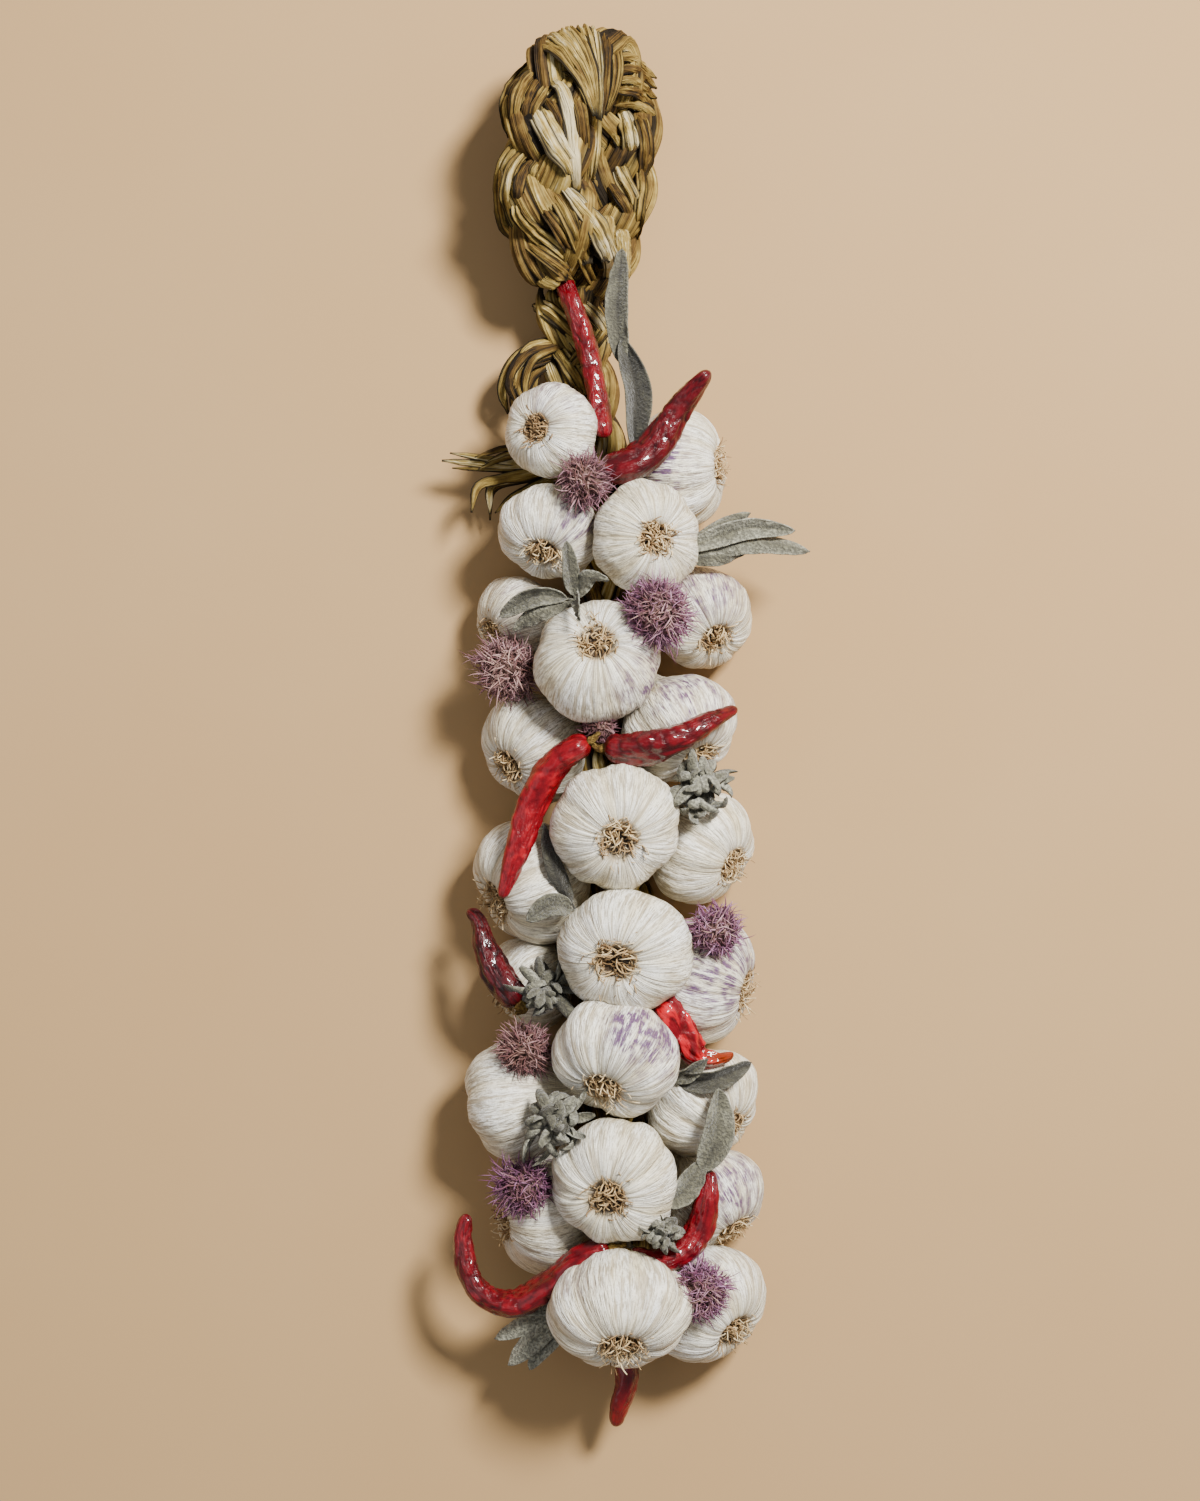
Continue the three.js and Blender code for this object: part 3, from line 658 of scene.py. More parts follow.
# %% The strands' lines
def strand_line(spec, strand, count):
    """Places along one strand of a plait, with the ways across it and out of its face."""
    middle = smooth_line(spec["line"], count)
    ahead = unit(np.gradient(middle, axis=0))
    across = np.array([1.0, 0, 0])
    wide = unit(across - ahead * ahead[:, :1])
    thick = np.cross(wide, ahead)
    phase = 2 * math.pi * (spec["turns"] * np.linspace(0, 1, count) + strand / STRANDS)[:, None]
    line = middle + wide * spec["swing"] * np.sin(phase) + thick * spec["lift"] * np.sin(2 * phase)
    ahead = unit(np.gradient(line, axis=0))
    side = unit(across - ahead * ahead[:, :1])
    return line, side, np.cross(side, ahead)


# %% One wrapped leaf
LEAF_COLUMNS, LEAF_RINGS, LEAF_WALL = 10, 36, 0.3
DIVE = 0.16  # the share of a leaf's length that it takes to dive in, at either end


def wrapped_leaf(spec, run, start, end, angle, half, rise, tone, rng):
    """A cupped leaf along a strand from share start to share end, round it at an angle, half wide."""
    line, side, face = run
    mesh, u, v = unit_sheet(LEAF_COLUMNS, LEAF_RINGS)
    share = start + (end - start) * v
    row = np.clip(share * (len(line) - 1), 0, len(line) - 1)
    low = np.floor(row).astype(int)
    high = np.minimum(low + 1, len(line) - 1)
    part = (row - low)[:, None]
    at, out_side, out_face = [a[low] * (1 - part) + a[high] * part for a in (line, side, face)]
    dive = np.minimum(ease(v, 0, DIVE), ease(1 - v, 0, DIVE))
    edge = np.abs(2 * u - 1)
    swirl = rng.uniform(-0.5, 0.5)
    turn = angle + swirl * (v - 0.5) + (2 * u - 1) * half * (0.45 + 0.55 * dive)
    turn = turn + 0.06 * np.sin(5 * v + rng.uniform(0, 6))
    pleats = rng.integers(2, 4)
    fold = np.sin(2 * math.pi * (pleats * u + rng.uniform(0, 1) + 0.5 * rng.uniform(-1, 1) * v))
    cup = np.cos(0.5 * math.pi * edge) ** 0.6
    reach = rise * (0.70 + 0.33 * cup * (0.4 + 0.6 * dive) + 0.06 * fold * cup)
    reach = reach + 0.02 * waves(np.stack([u * 8, v * 3, u * 0 + angle], axis=1), 1.0, int(rng.integers(1e6)))
    places = at + out_side * (np.cos(turn) * reach * spec["wide"] / 2)[:, None]
    places = places + out_face * (np.sin(turn) * reach * spec["thick"] / 2)[:, None]
    # painted shade: the edges, the troughs of the pleats and the ends where the leaf dives in are darkened
    crease = np.clip(ease(edge, 0.55, 1.0) + 0.5 * ease(-fold, 0.3, 1.0) + 0.8 * (1 - dive), 0, 1)
    length = (end - start) * np.linalg.norm(np.diff(line, axis=0), axis=1).sum()
    seed = rng.uniform(0, 50)
    grain = np.stack([u * 5 + seed, v * length / 45, u * 0 + seed], axis=1)
    mesh = move_to(mesh, places, tone=np.full(len(u), tone), crease=crease, grain=grain)
    return closed(mesh, LEAF_WALL)


# %% A rolled tube
def rolled(path, radius_at, sides, rings, flat=1.0, **notes):
    """A closed tube along a path. radius_at(angle, v) is nothing at both ends."""
    mesh, u, v = unit_sheet(sides, rings)
    row = np.rint(v * rings).astype(int)
    line = smooth_line(path, rings + 1)
    _, side, face = frames(line)
    angle = 2 * math.pi * u
    radius = radius_at(angle, v)
    places = line[row] + side[row] * (np.cos(angle) * radius * flat)[:, None]
    places = places + face[row] * (np.sin(angle) * radius)[:, None]
    marks = {k: (f(angle, v) if callable(f) else np.full(len(u), float(f))) for k, f in notes.items()}
    return closed(move_to(mesh, places, **marks))


# %% One strand
LEAF_STEP = 0.86  # the next leaf starts after this share of a leaf's length
CORE_SHARE = 0.36  # the core's radius as a share of the strand's thickness


def strand_pieces(spec, strand, seed, leaves_round, leaf_length, tones):
    """All the leaves of one strand, and its core, painted near black as shade."""
    rng = np.random.default_rng(seed)
    run = strand_line(spec, strand, 400)
    length = np.linalg.norm(np.diff(run[0], axis=0), axis=1).sum()
    meshes = []
    for j in range(leaves_round):
        at = -rng.uniform(0, 0.8) * leaf_length / length
        while at < 1:
            step = leaf_length * rng.uniform(0.8, 1.25) / length
            angle = 2 * math.pi * (j + rng.uniform(-0.2, 0.2)) / leaves_round
            half = math.pi / leaves_round * rng.uniform(1.15, 1.5)
            spans = max(at, 0.0), min(at + step, 1.0)
            if spans[1] - spans[0] > 0.02:
                tone = float(rng.choice(tones)) + rng.uniform(-0.08, 0.08)
                meshes.append(wrapped_leaf(spec, run, *spans, angle, half, rng.uniform(0.93, 1.1), tone, rng))
            at += step * LEAF_STEP
    core = run[0][::8]
    round_end = lambda angle, v: CORE_SHARE * spec["thick"] * np.minimum(1, 12 * np.minimum(v, 1 - v)) ** 0.5
    still = lambda angle, v: np.stack([angle * 3, v * 8, v * 0], axis=1)
    flat = spec["wide"] / spec["thick"]
    # the core's high crease value paints it near black, as shade deep inside the strand
    meshes.append(rolled(core, round_end, 10, 90, flat=flat, tone=0.1, crease=0.9, grain=still))
    return meshes


# %% Plait the stem and the loop
LOOP_TONES = [0.1, 0.2, 0.3, 0.4, 0.46, 0.5, 0.56, 0.62, 0.7]
STEM_TONES = [0.15, 0.3, 0.4, 0.5, 0.55, 0.6, 0.7]
strands = []
for name, spec, seed, leaves_round, leaf_length, tones in (
    ("plait_loop", LOOP, 11, 6, 85, LOOP_TONES),
    ("plait_stem", STEM, 21, 5, 110, STEM_TONES),
):
    for strand in range(STRANDS):
        leaves = strand_pieces(spec, strand, seed + strand, leaves_round, leaf_length, tones)
        replaced = [name] if strand == 0 else []
        strands.append(finish_piece(f"{name}_{strand + 1}", leaves, garlic_leaf, replaced))

# %% [markdown]
# ### Ribbons of leaf
# The strands below make the relief of the plait. Over them lie the broad leaves that show: a pleated fan
# gathered over the top of the loop, straps that bend into each strand, and wide bands across the loop's foot.
# All are one shape: a cupped, pleated ribbon along a line, whose width changes from end to end. Its line is
# drawn from above and laid on the strands, and both ends dive in between them.


# %% One ribbon
RIBBON_WALL = 0.35


def ribbon(path, widths, tone, rng, cup=0.3, pleats=2.0, columns=12, rings=30):
    """A cupped ribbon of leaf along a path. widths are at even steps along it."""
    mesh, u, v = unit_sheet(columns, rings)
    row = np.rint(v * rings).astype(int)
    line = smooth_line(path, rings + 1)
    _, side, face = frames(line, np.cross(line[-1] - line[0], (0, 0, 1)))
    roll = rng.uniform(-0.3, 0.3) + rng.uniform(-0.35, 0.35) * np.linspace(-1, 1, rings + 1)
    side, face = rolled_over(side, face, roll)
    half = between(widths, v) / 2 * (0.35 + 0.65 * ease(0.5 - np.abs(v - 0.5), 0.0, 0.14))
    x = 2 * u - 1
    ragged = waves(np.stack([np.sign(x) * 3, v * 4, v * 0], axis=1), 1.0, int(rng.integers(1e6)))
    half = half * (1 + 0.12 * ragged * np.abs(x))
    fold = np.cos(math.pi * pleats * (x + 0.15 * np.sin(3 * v + rng.uniform(0, 6))) + rng.uniform(-0.6, 0.6))
    lift = half * (cup * (1 - x * x) + 0.2 * fold)
    places = line[row] + side[row] * (x * half)[:, None] + face[row] * lift[:, None]
    places = places + 0.3 * waves(places, 7, int(rng.integers(1e6)))[:, None] * face[row]
    seed = rng.uniform(0, 50)
    grain = np.stack([u * 4 + seed, v * 2, u * 0 + seed], axis=1)
    # painted shade: the edges, the troughs of the pleats and both ends, where the ribbon dives in, are
    # darkened
    crease = np.clip(ease(np.abs(x), 0.7, 1.0) * 0.9 + 0.8 * ease(-fold, 0.45, 1.0), 0, 1)
    crease = np.clip(crease + 0.8 * ease(np.abs(2 * v - 1), 0.86, 1.0), 0, 1)
    tones = tone + 0.1 * waves(np.stack([x, v * 5, v * 0], axis=1), 2.2, int(rng.integers(1e6)))
    return closed(move_to(mesh, places, tone=tones, crease=crease, grain=grain), RIBBON_WALL)


# %% Laying a line on the strands
FLOOR_OF_GAPS = 16.0  # the height of a line where no strand lies below it
DISC = 2  # radius of the disc that a height is taken over
trees = [BVHTree.FromPolygons([v.co / MM for v in s.data.vertices], [p.vertices for p in s.data.polygons])
         for s in strands]


def height_at(x, y):
    """The height of the plait, taken over a small disc."""
    heights = []
    for dx, dy in ((0, 0), (DISC, 0), (-DISC, 0), (0, DISC), (0, -DISC)):
        hits = [tree.ray_cast((x + dx, y + dy, 200), (0, 0, -1))[0] for tree in trees]
        heights.append(max([hit.z for hit in hits if hit] + [FLOOR_OF_GAPS]))
    return sum(heights) / len(heights)


def laid(path, above=1.6, dive=9.5):
    """The path with a height for each point that has none, and both ends sunk by dive."""
    places = [p if len(p) == 3 else (*p, height_at(*p) + above) for p in path]
    places[0] = (*places[0][:2], places[0][2] - dive)
    places[-1] = (*places[-1][:2], places[-1][2] - dive)
    return places


# %% The leaves that show
# The line seen from above (with a height where it leaves the strands), widths, tone and number of pleats.
FAN = [
    ([(-40, 298, 20), (-41, 308, 32), (-37, 307, 47), (-30, 301, 57), (-21, 288, 60), (-15.5, 273, 57)],
     9, 0.64, 3),
    ([(-34, 303, 18), (-35.5, 312, 31), (-32, 311, 47), (-26, 303, 57), (-18.5, 290, 60), (-14.5, 273, 57)],
     9, 0.7, 3),
    ([(-28, 304, 17), (-28.5, 315, 30), (-26, 313, 47), (-21, 304, 57), (-16.5, 291, 59), (-14, 272, 56)],
     9, 0.6, 4),
    ([(-22, 304, 17), (-22.5, 316, 30), (-21, 314, 46), (-18.5, 304, 55), (-15, 290, 57), (-13, 272, 54)],
     9, 0.72, 3),
    ([(-17, 304, 17), (-17, 316, 30), (-16.5, 314, 45), (-15, 303, 53), (-13.5, 290, 55), (-12.5, 272, 52)],
     7, 0.84, 2),
    ([(-12, 303, 17), (-11.5, 315, 29), (-11, 312, 43), (-10, 302, 50), (-10.5, 289, 51), (-12, 274, 48)],
     7, 0.33, 3),
    ([(-7, 301, 17), (-7.5, 312, 27), (-6.8, 309, 39), (-5, 300, 45), (-6, 289, 46), (-10.5, 276, 44)],
     7, 0.42, 3),
]
STRAPS = [
    ([(-40, 303), (-51, 294), (-55.5, 281), (-54, 267)], [6, 8, 8, 6], 0.6, 2),
    ([(-36, 300), (-46, 290), (-50, 278), (-50, 265)], [5, 7, 7, 5], 0.5, 2),
    ([(-33, 298), (-42, 287), (-46, 276), (-47, 266)], [4, 5, 5, 4], 0.2, 1),
    ([(-32, 294), (-38, 284), (-42, 276), (-44, 268)], [4, 5, 5, 4], 0.45, 2),
    ([(-34, 297), (-24, 292), (-17.5, 282), (-15.5, 269), (-16.5, 256), (-18, 247)],
     [6, 9, 9, 8, 7, 4], 0.74, 2),
    ([(-36, 291), (-30, 285), (-26.5, 275), (-25, 263), (-24, 250), (-23, 238)], [5, 8, 8, 7, 6, 4], 0.96, 1),
    ([(-29, 289), (-22, 277), (-20, 264), (-19.5, 250), (-20.5, 238)], [4, 6, 6, 5, 4], 0.45, 2),
    ([(-44, 284), (-39, 271), (-33, 260), (-27, 251), (-25, 242)], [4, 11, 12, 8, 4], 0.86, 2),
    ([(-41, 287), (-34, 276), (-29, 264), (-27, 254)], [4, 5, 5, 3], 0.28, 1),
    ([(-45, 266), (-55, 255), (-58, 245), (-56.5, 232), (-50, 221)], [5, 8, 8, 7, 5], 0.6, 2),
    ([(-42, 262), (-51, 252), (-54, 241), (-52, 230), (-46, 219)], [4, 6, 7, 6, 4], 0.68, 2),
    ([(-40, 259), (-47, 249), (-49.5, 240), (-48, 230)], [4, 5, 5, 4], 0.26, 1),
    ([(-38, 256), (-42, 249), (-44, 241)], [4, 6, 4], 0.62, 2),
    ([(-42, 239), (-36, 229), (-29, 219), (-23, 210)], [4, 6, 6, 4], 0.3, 2),
    ([(-48, 240), (-50, 231), (-43, 223), (-33, 215), (-22, 207)], [5, 9, 10, 8, 6], 0.68, 3),
    ([(-49, 224), (-42, 215), (-32, 208), (-23, 203)], [4, 7, 7, 4], 0.5, 2),
    ([(-39.5, 246), (-31, 235), (-25.5, 224), (-18.5, 209), (-13, 201)], [5, 8, 8, 7, 5], 0.5, 2),
    ([(-33, 247), (-24, 236), (-15.5, 226), (-8.5, 213), (-9, 204)], [5, 9, 11, 9, 6], 0.94, 2),
    ([(-4, 287), (-1, 279), (1, 269), (2, 261)], [5, 8, 8, 4], 0.88, 2),
    ([(3, 284), (6.4, 276), (8.2, 265), (5.5, 250)], [5, 7, 7, 4], 0.36, 2),
    ([(-9, 276), (-4.6, 269), (0, 262)], [3, 5, 3], 0.68, 1),
    ([(-8, 268), (-4, 255), (2, 243), (3.6, 230)], [4, 8, 8, 5], 0.68, 2),
    ([(-12, 255), (-7, 247), (-1, 238), (2.5, 228)], [3, 5, 5, 3], 0.3, 1),
    ([(5, 262), (6.5, 250), (5, 236), (4, 226)], [4, 6, 6, 4], 0.5, 2),
    ([(-44, 196), (-36, 191), (-26, 182), (-20, 174)], [5, 8, 8, 5], 0.76, 2),
    ([(-26, 197), (-19, 192), (-11, 182), (-9, 172)], [4, 7, 7, 5], 0.88, 2),
    ([(-37, 180), (-31, 172), (-23, 159), (-19, 150)], [5, 8, 8, 5], 0.68, 2),
    ([(-8, 192), (-14, 178), (-24, 168), (-32, 160)], [5, 7, 7, 4], 0.52, 2),
]

# %% Lay the leaves on the plait
FAN_WIDTHS = (0.8, 1, 1, 0.85, 0.6, 0.35)  # shares of a fan leaf's width, from end to end
rng = np.random.default_rng(41)
shown = [ribbon(path, [wide * share for share in FAN_WIDTHS], tone, rng, pleats=folds)
         for path, wide, tone, folds in FAN]
shown += [ribbon(laid(path), widths, tone, rng, pleats=folds) for path, widths, tone, folds in STRAPS]
RIDGE_STEP = 4.6
for k, tone in enumerate((0.55, 0.35, 0.6, 0.4, 0.5)):  # ridges that run over the far run of the loop
    y = 303 - RIDGE_STEP * k
    path = laid([(-7, y), (1, y + 1.5), (8, y), (13, y - 3, 13)], above=0.5, dive=1.0)
    shown.append(ribbon(path, [4, 6, 6, 4], tone, rng, pleats=1, cup=0.5))
CUT_RADIUS = 4.2  # of the two cut stalks at the loop's foot
cut_grain = lambda angle, v: np.stack([angle * 2, v * 2, v * 0], axis=1)
cut_ends = lambda angle, v: CUT_RADIUS * np.sqrt(np.minimum(1, 14 * np.minimum(v, 1 - v)))
for shift in (-3.5, 3.0):
    path = [(-7 + shift, 231 - shift, 27), (-6 + shift, 222, 26), (-5 + shift * 0.6, 205, 22)]
    shown.append(rolled(path, cut_ends, 14, 24, tone=0.74, crease=0.0, grain=cut_grain))
finish_piece("plait_ribbons", shown, garlic_leaf)

# %% Loose ends
STRAWS = {"leaf_ends": (3, 0), "leaf_bend": (6, -0.24)}  # straws for each band, and a change of tone
for name, bands in WISPS.items():
    count, change = STRAWS[name]
    rng = np.random.default_rng(31)
    straws = []
    for path, width in bands:
        for _ in range(count):
            spread_out = rng.normal(size=3) * width * 0.24
            moved = [np.array(p) + spread_out * (0.3 + 0.9 * k) for k, p in enumerate(path)]
            tone = rng.choice([0.4, 0.6, 0.7, 0.78, 0.86]) + change
            wide = width * rng.uniform(0.5, 0.8)
            widths = [wide * 0.8, wide, wide * 0.85, wide * 0.45]
            straws.append(ribbon(moved, widths, tone, rng, cup=0.15, pleats=1, columns=6, rings=22))
    finish_piece(f"{name}_straws", straws, garlic_leaf, [name])

# %% [markdown]
# ## The garlic bulbs
# A bulb is a ring of cloves in one paper skin. Its outline is drawn once from the root plate to the neck and
# spun round the axis. Then the skin is pushed out over each clove, wrinkled, and its neck is bent back to
# the plait. The grain kept at each vertex circles the axis, so the lines of the skin meet at the root plate.

# %% The outline and the sizes of a bulb
BULB_OUTLINE = [
    (0, 0.47), (0.13, 0.475), (0.24, 0.5), (0.33, 0.565), (0.45, 0.575), (0.62, 0.525), (0.8, 0.39),
    (0.93, 0.2), (1.0, -0.03), (0.97, -0.26), (0.86, -0.5), (0.68, -0.7), (0.49, -0.86), (0.33, -0.97),
    (0.23, -1.1), (0.18, -1.3), (0.17, -1.6), (0.16, -2.05), (0.0, -2.06),
]
BULB_RINGS, BULB_SIDES = 60, 132
NECK = -1.05  # where the neck starts to bend
STALK = 1.0  # length of the stalk on the outline
RIBS = 14
LOBE_DEPTH = (0.045, 0.085)


# %% Where the stalks end
def plait_middle(y):
    """The middle of the stem at a distance along Y."""
    line = smooth_line(STEM["line"], 300)[::-1]
    return np.array([np.interp(y, line[:, 1], line[:, 0]), y, np.interp(y, line[:, 1], line[:, 2])])


# %% The cloves
def clove_shape(angle, rng, turn):
    """How far the cloves push the skin out at an angle, from 0 in a crease to 1."""
    cloves = int(rng.integers(6, 9))
    edges = (np.arange(cloves) + rng.uniform(-0.2, 0.2, cloves)) * 2 * math.pi / cloves
    edges = np.append(edges, edges[0] + 2 * math.pi)
    size = rng.uniform(0.65, 1.25, cloves)
    turned = (angle + turn - edges[0]) % (2 * math.pi) + edges[0]
    k = np.clip(np.searchsorted(edges, turned, side="right") - 1, 0, cloves - 1)
    x = 2 * (turned - edges[k]) / (edges[k + 1] - edges[k]) - 1
    return size[k] * (0.55 * (1 - np.abs(x) ** 2.6) + 0.45 * (0.5 + 0.5 * np.cos(math.pi * x)))


# %% The bare shape
def bulb_frame(root):
    """The way the root plate faces, and two ways across it."""
    facing = unit(root)
    wide = unit(np.array([1.0, 0, 0]) - facing * facing[0])
    return facing, wide, np.cross(facing, wide)


def spun_outline():
    """The outline spun round the Z axis."""
    bm = bmesh.new()
    outline = smooth_line([(x, 0, z) for x, z in BULB_OUTLINE], BULB_RINGS)
    outline[:, 0] = np.maximum(outline[:, 0], 0)
    points = [bm.verts.new(p) for p in outline]
    edges = [bm.edges.new(pair) for pair in zip(points, points[1:])]
    bmesh.ops.spin(bm, geom=points + edges, cent=(0, 0, 0), axis=(0, 0, 1), angle=2 * math.pi,
                   steps=BULB_SIDES, use_merge=True)
    bmesh.ops.remove_doubles(bm, verts=bm.verts, dist=WELD)
    return mesh_of(bm)


# %% One bulb
def garlic_bulb(number, at, radius, root, turn, tall=1.0):
    rng = np.random.default_rng(100 + number)
    facing, wide, high = bulb_frame(root)
    middle = np.array(at, float)
    mesh = spun_outline()
    x, y, z = corners(mesh).T
    out, angle = np.hypot(x, y), np.arctan2(y, x)

    lobes = clove_shape(angle, rng, math.radians(turn)) - 0.6
    shows = ease(out, 0.2, 0.75) * np.where(z > 0, 1, ease(z, -1.0, -0.25) * 0.85 + 0.15)
    size = 1 + rng.uniform(*LOBE_DEPTH) * lobes * shows
    here = np.stack([x, y, z], axis=1)
    size = size + 0.03 * waves(here, 1.7, 300 + number) + 0.006 * waves(here, 0.42, 400 + number)
    ribs = sum(rng.uniform(0.4, 1.3) * np.sin(k * angle + rng.uniform(0, 6) + rng.normal() * 1.5 * z)
               for k in rng.integers(13, 46, RIBS)) / RIBS ** 0.5
    size = size + ribs * (0.006 + 0.012 * ease(0.62 - out, 0.0, 0.3) + 0.02 * ease(-z, 0.9, 1.1))

    at_neck = np.minimum(z, 0) < NECK
    grow = np.where(at_neck, 1, size)
    places = middle + radius * (wide * (x * grow)[:, None] + high * (y * grow * tall)[:, None])
    places = places + radius * facing * ((z + 0.1) * grow - 0.1)[:, None]

    neck = middle + facing * radius * NECK
    end = plait_middle(at[1] + STALK_RISE * radius)
    bend = neck - facing * np.linalg.norm(end - neck) * 0.45
    s = np.linspace(0, 1, 33)[:, None]
    stalk = neck * (1 - s) ** 2 + bend * 2 * s * (1 - s) + end * s ** 2
    _, side, face = frames(stalk, wide)
    row = np.clip(np.rint((NECK - z) / STALK * 32), 0, 32).astype(int)
    sunk = stalk[row] + radius * (side[row] * (x * size)[:, None] + face[row] * (y * size)[:, None])
    places = np.where(at_neck[:, None], sunk, places)
    places[:, 2] = np.maximum(places[:, 2], 0)

    purple = np.zeros(len(x))
    for bulb, px, py, wide_patch, strength in BLUSHES:
        if bulb == number:
            away = np.hypot(places[:, 0] - px, places[:, 1] - py)
            purple = np.maximum(purple, strength * np.exp(-(away / wide_patch) ** 2))
    plate = (1 - ease(out, 0.17, 0.42)) * (z > 0.3)
    # beige towards the neck and in the creases between the cloves; in the creases it is partly painted shade
    warm = rng.uniform(0.0, 0.3) + 0.6 * ease(-z, 0.3, 1.1) + 0.45 * ease(-lobes, 0.1, 0.6) * shows
    grain = np.stack([np.cos(angle) * 6, np.sin(angle) * 6, z * 0.9 + number * 5], axis=1)
    return closed(move_to(mesh, places, plate=plate, blush=purple, warmth=np.clip(warm, 0, 1), grain=grain))


# %% All the bulbs
for number, spec in enumerate(BULBS, 1):
    name = f"garlic_{number:02d}"
    finish_piece(f"{name}_bulb", [garlic_bulb(number, *spec)], garlic_skin, [name])

# %% [markdown]
# ### Roots
# Under each bulb is a trimmed tuft of dry roots. They are short, stiff and curled into each other, so each
# is a four-sided thread that leans out from the root plate and curls. A fringe of finer, paler ends lies
# round the rim of the plate. All the tufts are one piece, because they are one kind of thing.

# %% Roots
ROOTS, FRINGE = 140, 60
DARK_ROOTS = {1: 0.5, 7: 0.85, 19: 0.8}  # the share of their usual tone
root_thread = thread(4, 6, lambda x, y, z: (x * (1 - 0.55 * z), y * (1 - 0.55 * z)))
fringe_thread = thread(3, 3, lambda x, y, z: (x * (1 - 0.8 * z), y * (1 - 0.8 * z)))
tufts, fringes = [], []
for number, (at, radius, root, *_) in enumerate(BULBS, 1):
    rng = np.random.default_rng(500 + number)
    facing = unit(root)
    share = np.sqrt(rng.uniform(0, 1, ROOTS))
    angle = rng.uniform(0, 2 * math.pi, ROOTS)
    lean = around(facing, angle, np.full(ROOTS, math.pi / 2))
    starts = np.array(at) + facing * radius * 0.45 + lean * (share * 0.28 * radius)[:, None]
    ways = around(facing, angle, share * 0.95 + rng.normal(0, 0.25, ROOTS))
    lengths = radius * rng.uniform(0.2, 0.4, ROOTS)
    tufts.append(grown(root_thread, starts, ways, lengths, rng.uniform(0.34, 0.6, ROOTS),
                       rng.uniform(0.6, 3.2, ROOTS), rng.uniform(-2.5, 2.5, ROOTS), rng,
                       tone=DARK_ROOTS.get(number, 1) * rng.beta(2.2, 2.0, ROOTS)))
    angle = rng.uniform(0, 2 * math.pi, FRINGE)
    lean = around(facing, angle, np.full(FRINGE, math.pi / 2))
    starts = np.array(at) + facing * radius * 0.52 + lean * radius * 0.27
    ways = around(facing, angle, rng.uniform(0.9, 1.5, FRINGE))
    lengths = radius * rng.uniform(0.07, 0.16, FRINGE)
    fringes.append(grown(fringe_thread, starts, ways, lengths, rng.uniform(0.2, 0.34, FRINGE),
                         rng.uniform(0, 1.2, FRINGE), rng.uniform(-1, 1, FRINGE), rng,
                         tone=rng.uniform(0.6, 1.0, FRINGE)))
finish_piece("garlic_roots", tufts, root_fibre)
finish_piece("garlic_root_fringes", fringes, root_fibre)

# %% [markdown]
# ## The chillies
# A chilli dries from a smooth pod into a wrinkled one: its skin sinks in long folds and twists a little. A
# rolled grid follows its line, and unevenness that is long one way and short the other makes the folds.


# %% One chilli
def chilli(number, path, radii, look):
    bright, wrinkled, orange = look
    count = 200
    length = np.linalg.norm(np.diff(smooth_line(path, count), axis=0), axis=1).sum()
    marks = {}

    def radius_at(angle, v):
        radius = between(radii, v)
        s = v * length
        from_stalk = np.clip(s / (0.9 * radii[0]), 0, 1)
        from_tip = np.clip((length - s) / (1.6 * radii[-1]), 0, 1)
        ends = np.sqrt(1 - (1 - from_stalk) ** 2) * np.sqrt(1 - (1 - from_tip) ** 2)
        turn = angle + 0.02 * s
        here = np.stack([np.cos(turn) * 6, np.sin(turn) * 6, s], axis=1)
        dents = waves(here, (7, 7, 24), 600 + number)
        folds = 1 - np.abs(waves(here, (5, 5, 13), 650 + number)) * 1.3
        small = waves(here, (2.6, 2.6, 5), 700 + number)
        rough = wrinkled * (0.07 * dents - 0.075 * np.clip(folds, 0, 1) + 0.032 * small)
        flatten = 1 + 0.12 * np.cos(2 * angle + s / 18 + number)
        # painted shade: the troughs of the folds are kept, so that the red can be darkened there
        marks["crease"] = np.clip(folds * wrinkled - 0.2, 0, 1)
        return radius * ends * flatten * (1.03 + rough)

    near_tip = lambda angle, v: orange * ease(v, 0.62, 0.95)
    grain = lambda angle, v: np.stack(
        [np.cos(angle) * 3, np.sin(angle) * 3, v * length / 9 + number * 9], axis=1)
    crease = lambda angle, v: marks["crease"]
    return rolled(path, radius_at, 44, 150, tone=bright, crease=crease, orange=near_tip, grain=grain)


# %% All the chillies and their stalks
JOINED = (3, 4)  # these two meet end to end, with hardly a cap between them
stalks = []
for number, ((path, radii), look) in enumerate(zip(CHILLIES, CHILLI_LOOKS), 1):
    name = f"chilli_{number:02d}"
    finish_piece(f"{name}_pod", [chilli(number, path, radii, look)], chilli_skin, [name])
    first, second = np.array(path[0], float), np.array(path[1], float)
    back = unit(first - second)
    rng = np.random.default_rng(750 + number)
    bent = first + back * 7 + rng.normal(size=3) * 1.5
    grain = lambda angle, v: np.stack([angle, v * 2, v * 0], axis=1)
    cap_radius = (0.3 if number in JOINED else 0.75) * radii[0]
    cap = lambda v: cap_radius * (1 - v) ** 3 * np.sqrt(np.minimum(1, v * 12))
    stick = lambda v: 1.3 * ease(v, 0, 0.3) * np.sqrt(np.clip((1 - v) * 8, 0, 1))
    stalk_radius = lambda angle, v: cap(v) + stick(v)
    stalk = [first - back, first + back * 3, bent]
    stalks.append(rolled(stalk, stalk_radius, 12, 24, tone=0.4, crease=0.0, grain=grain))
finish_piece("chilli_stalks", stalks, garlic_leaf)

# %% [markdown]
# ## The flower heads
# Each head is a ball of hundreds of narrow florets that dried into curled spikes, brown at the foot and
# purple at the tip. A dark lumpy core fills the middle, and threads with a leaf-like taper grow out of it.

